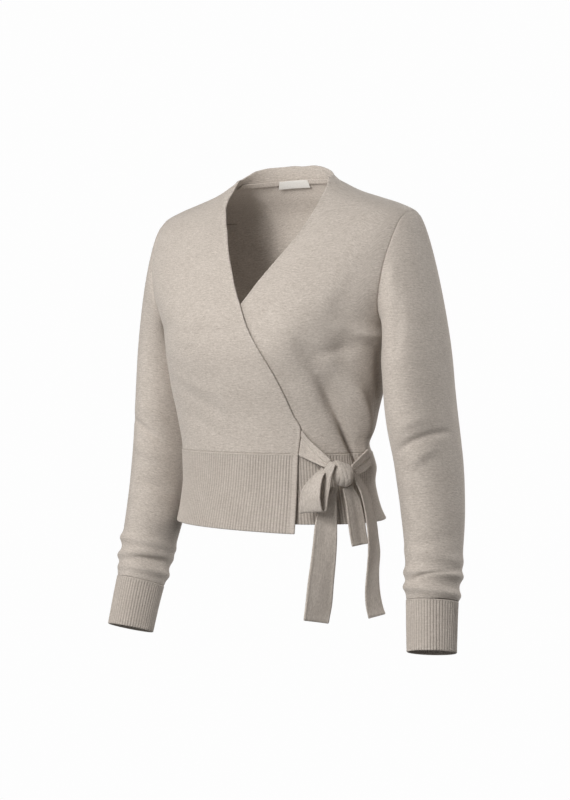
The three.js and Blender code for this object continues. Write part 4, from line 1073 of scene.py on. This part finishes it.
# ---------------------------------------------------------------- camera
A, E, FAR, PX = 28 * DEG, 1.5 * DEG, 2000.0, 1.31
b = np.array([math.sin(A) * math.cos(E), -math.cos(A) * math.cos(E), math.sin(E)])
r = np.array([math.cos(A), math.sin(A), 0.0])
u = np.cross(b, r)
aim = r * (285 - 284) * PX - u * (400 - 182) * PX
cam_data = bpy.data.cameras.new("camera")
cam_data.sensor_fit = "AUTO"
cam_data.sensor_width = 36.0
cam_data.lens = 36.0 * (FAR / PX) / 800
cam_data.clip_start, cam_data.clip_end = 0.05, 100
cam = bpy.data.objects.new("camera", cam_data)
m = Matrix.Identity(4)
for i in range(3):
    m[i][0], m[i][1], m[i][2], m[i][3] = r[i], u[i], b[i], (aim[i] + b[i] * FAR) * 0.001
cam.matrix_world = m
bpy.context.scene.collection.objects.link(cam)
bpy.context.scene.camera = cam


# ---------------------------------------------------------------- studio
def area(name, where, to, size, power, colour=(1, 1, 1)):
    d = bpy.data.lights.new(name, "AREA")
    d.shape, d.size, d.energy, d.color = "DISK", size, power, colour
    o = bpy.data.objects.new(name, d)
    o.location = where
    o.rotation_mode = "QUATERNION"
    o.rotation_quaternion = (Vector(to) - Vector(where)).to_track_quat("-Z", "Y")
    bpy.context.scene.collection.objects.link(o)
    return o


def seen_from(across, up, near):
    """A place by its distance across, above and towards the camera from the middle of the garment, in metres."""
    p = np.array([0, 0, -0.25]) + r * across + np.array([0, 0, 1.0]) * up + np.array([b[0], b[1], 0]) * near
    return tuple(float(x) for x in p)


MIDDLE = (0.0, 0.0, -0.25)
AMBIENT = 0.16
LAMPS = [
    ("key", -1.3, 1.4, 1.9, 0.7, 35),
    ("front", -1.05, 0.75, 2.2, 0.7, 22),
    ("low", -0.9, -0.7, 2.1, 0.9, 4.5),
    ("side", -2.5, 0.5, 0.4, 1.2, 13),
    ("edge", 2.4, 0.3, -0.5, 0.8, 19),
    ("rim", 2.0, 0.6, -1.4, 0.8, 22),
]
for name, across, up, near, size, power in LAMPS:
    area(name, seen_from(across, up, near), MIDDLE, size, power, (1.0, 0.985, 0.965))
# A weak one inside, behind the left front, for the light that a soft knit passes on inside itself.
area("inner", (0.1, -0.018, -0.1), (-0.02, 0.08, -0.07), 0.1, 0.07, (1.0, 0.95, 0.9))

world = bpy.data.worlds.new("studio")
bpy.context.scene.world = world
world.use_nodes = True
wt = world.node_tree
wt.nodes.clear()
lit, seen, path = wt.nodes.new("ShaderNodeBackground"), wt.nodes.new("ShaderNodeBackground"), wt.nodes.new("ShaderNodeLightPath")
lit.inputs[0].default_value, lit.inputs[1].default_value = (1, 0.985, 0.97, 1), AMBIENT
seen.inputs[0].default_value, seen.inputs[1].default_value = (0.985, 0.985, 0.985, 1), 1.0
both, wout = wt.nodes.new("ShaderNodeMixShader"), wt.nodes.new("ShaderNodeOutputWorld")
wt.links.new(path.outputs["Is Camera Ray"], both.inputs[0])
wt.links.new(lit.outputs[0], both.inputs[1])
wt.links.new(seen.outputs[0], both.inputs[2])
wt.links.new(both.outputs[0], wout.inputs[0])

floor_mesh = bpy.data.meshes.new("floor")
S, LOW = 40.0, -1.42
floor_mesh.from_pydata([(-S, -S, LOW), (S, -S, LOW), (S, S, LOW), (-S, S, LOW)], [], [(0, 1, 2, 3)])
floor = bpy.data.objects.new("floor", floor_mesh)
bpy.context.scene.collection.objects.link(floor)
fm = Tree("floor")
fs = fm.node("ShaderNodeEmission")
fs.inputs[0].default_value, fs.inputs[1].default_value = (0.985, 0.985, 0.985, 1), 1.0
fo = fm.node("ShaderNodeOutputMaterial")
fm.link(fs.outputs[0], fo.inputs["Surface"])
floor_mesh.materials.append(fm.mat)
floor.visible_diffuse = floor.visible_glossy = False

view = bpy.context.scene.view_settings
view.view_transform, view.look, view.exposure, view.gamma = "Standard", "None", 0.0, 1.0
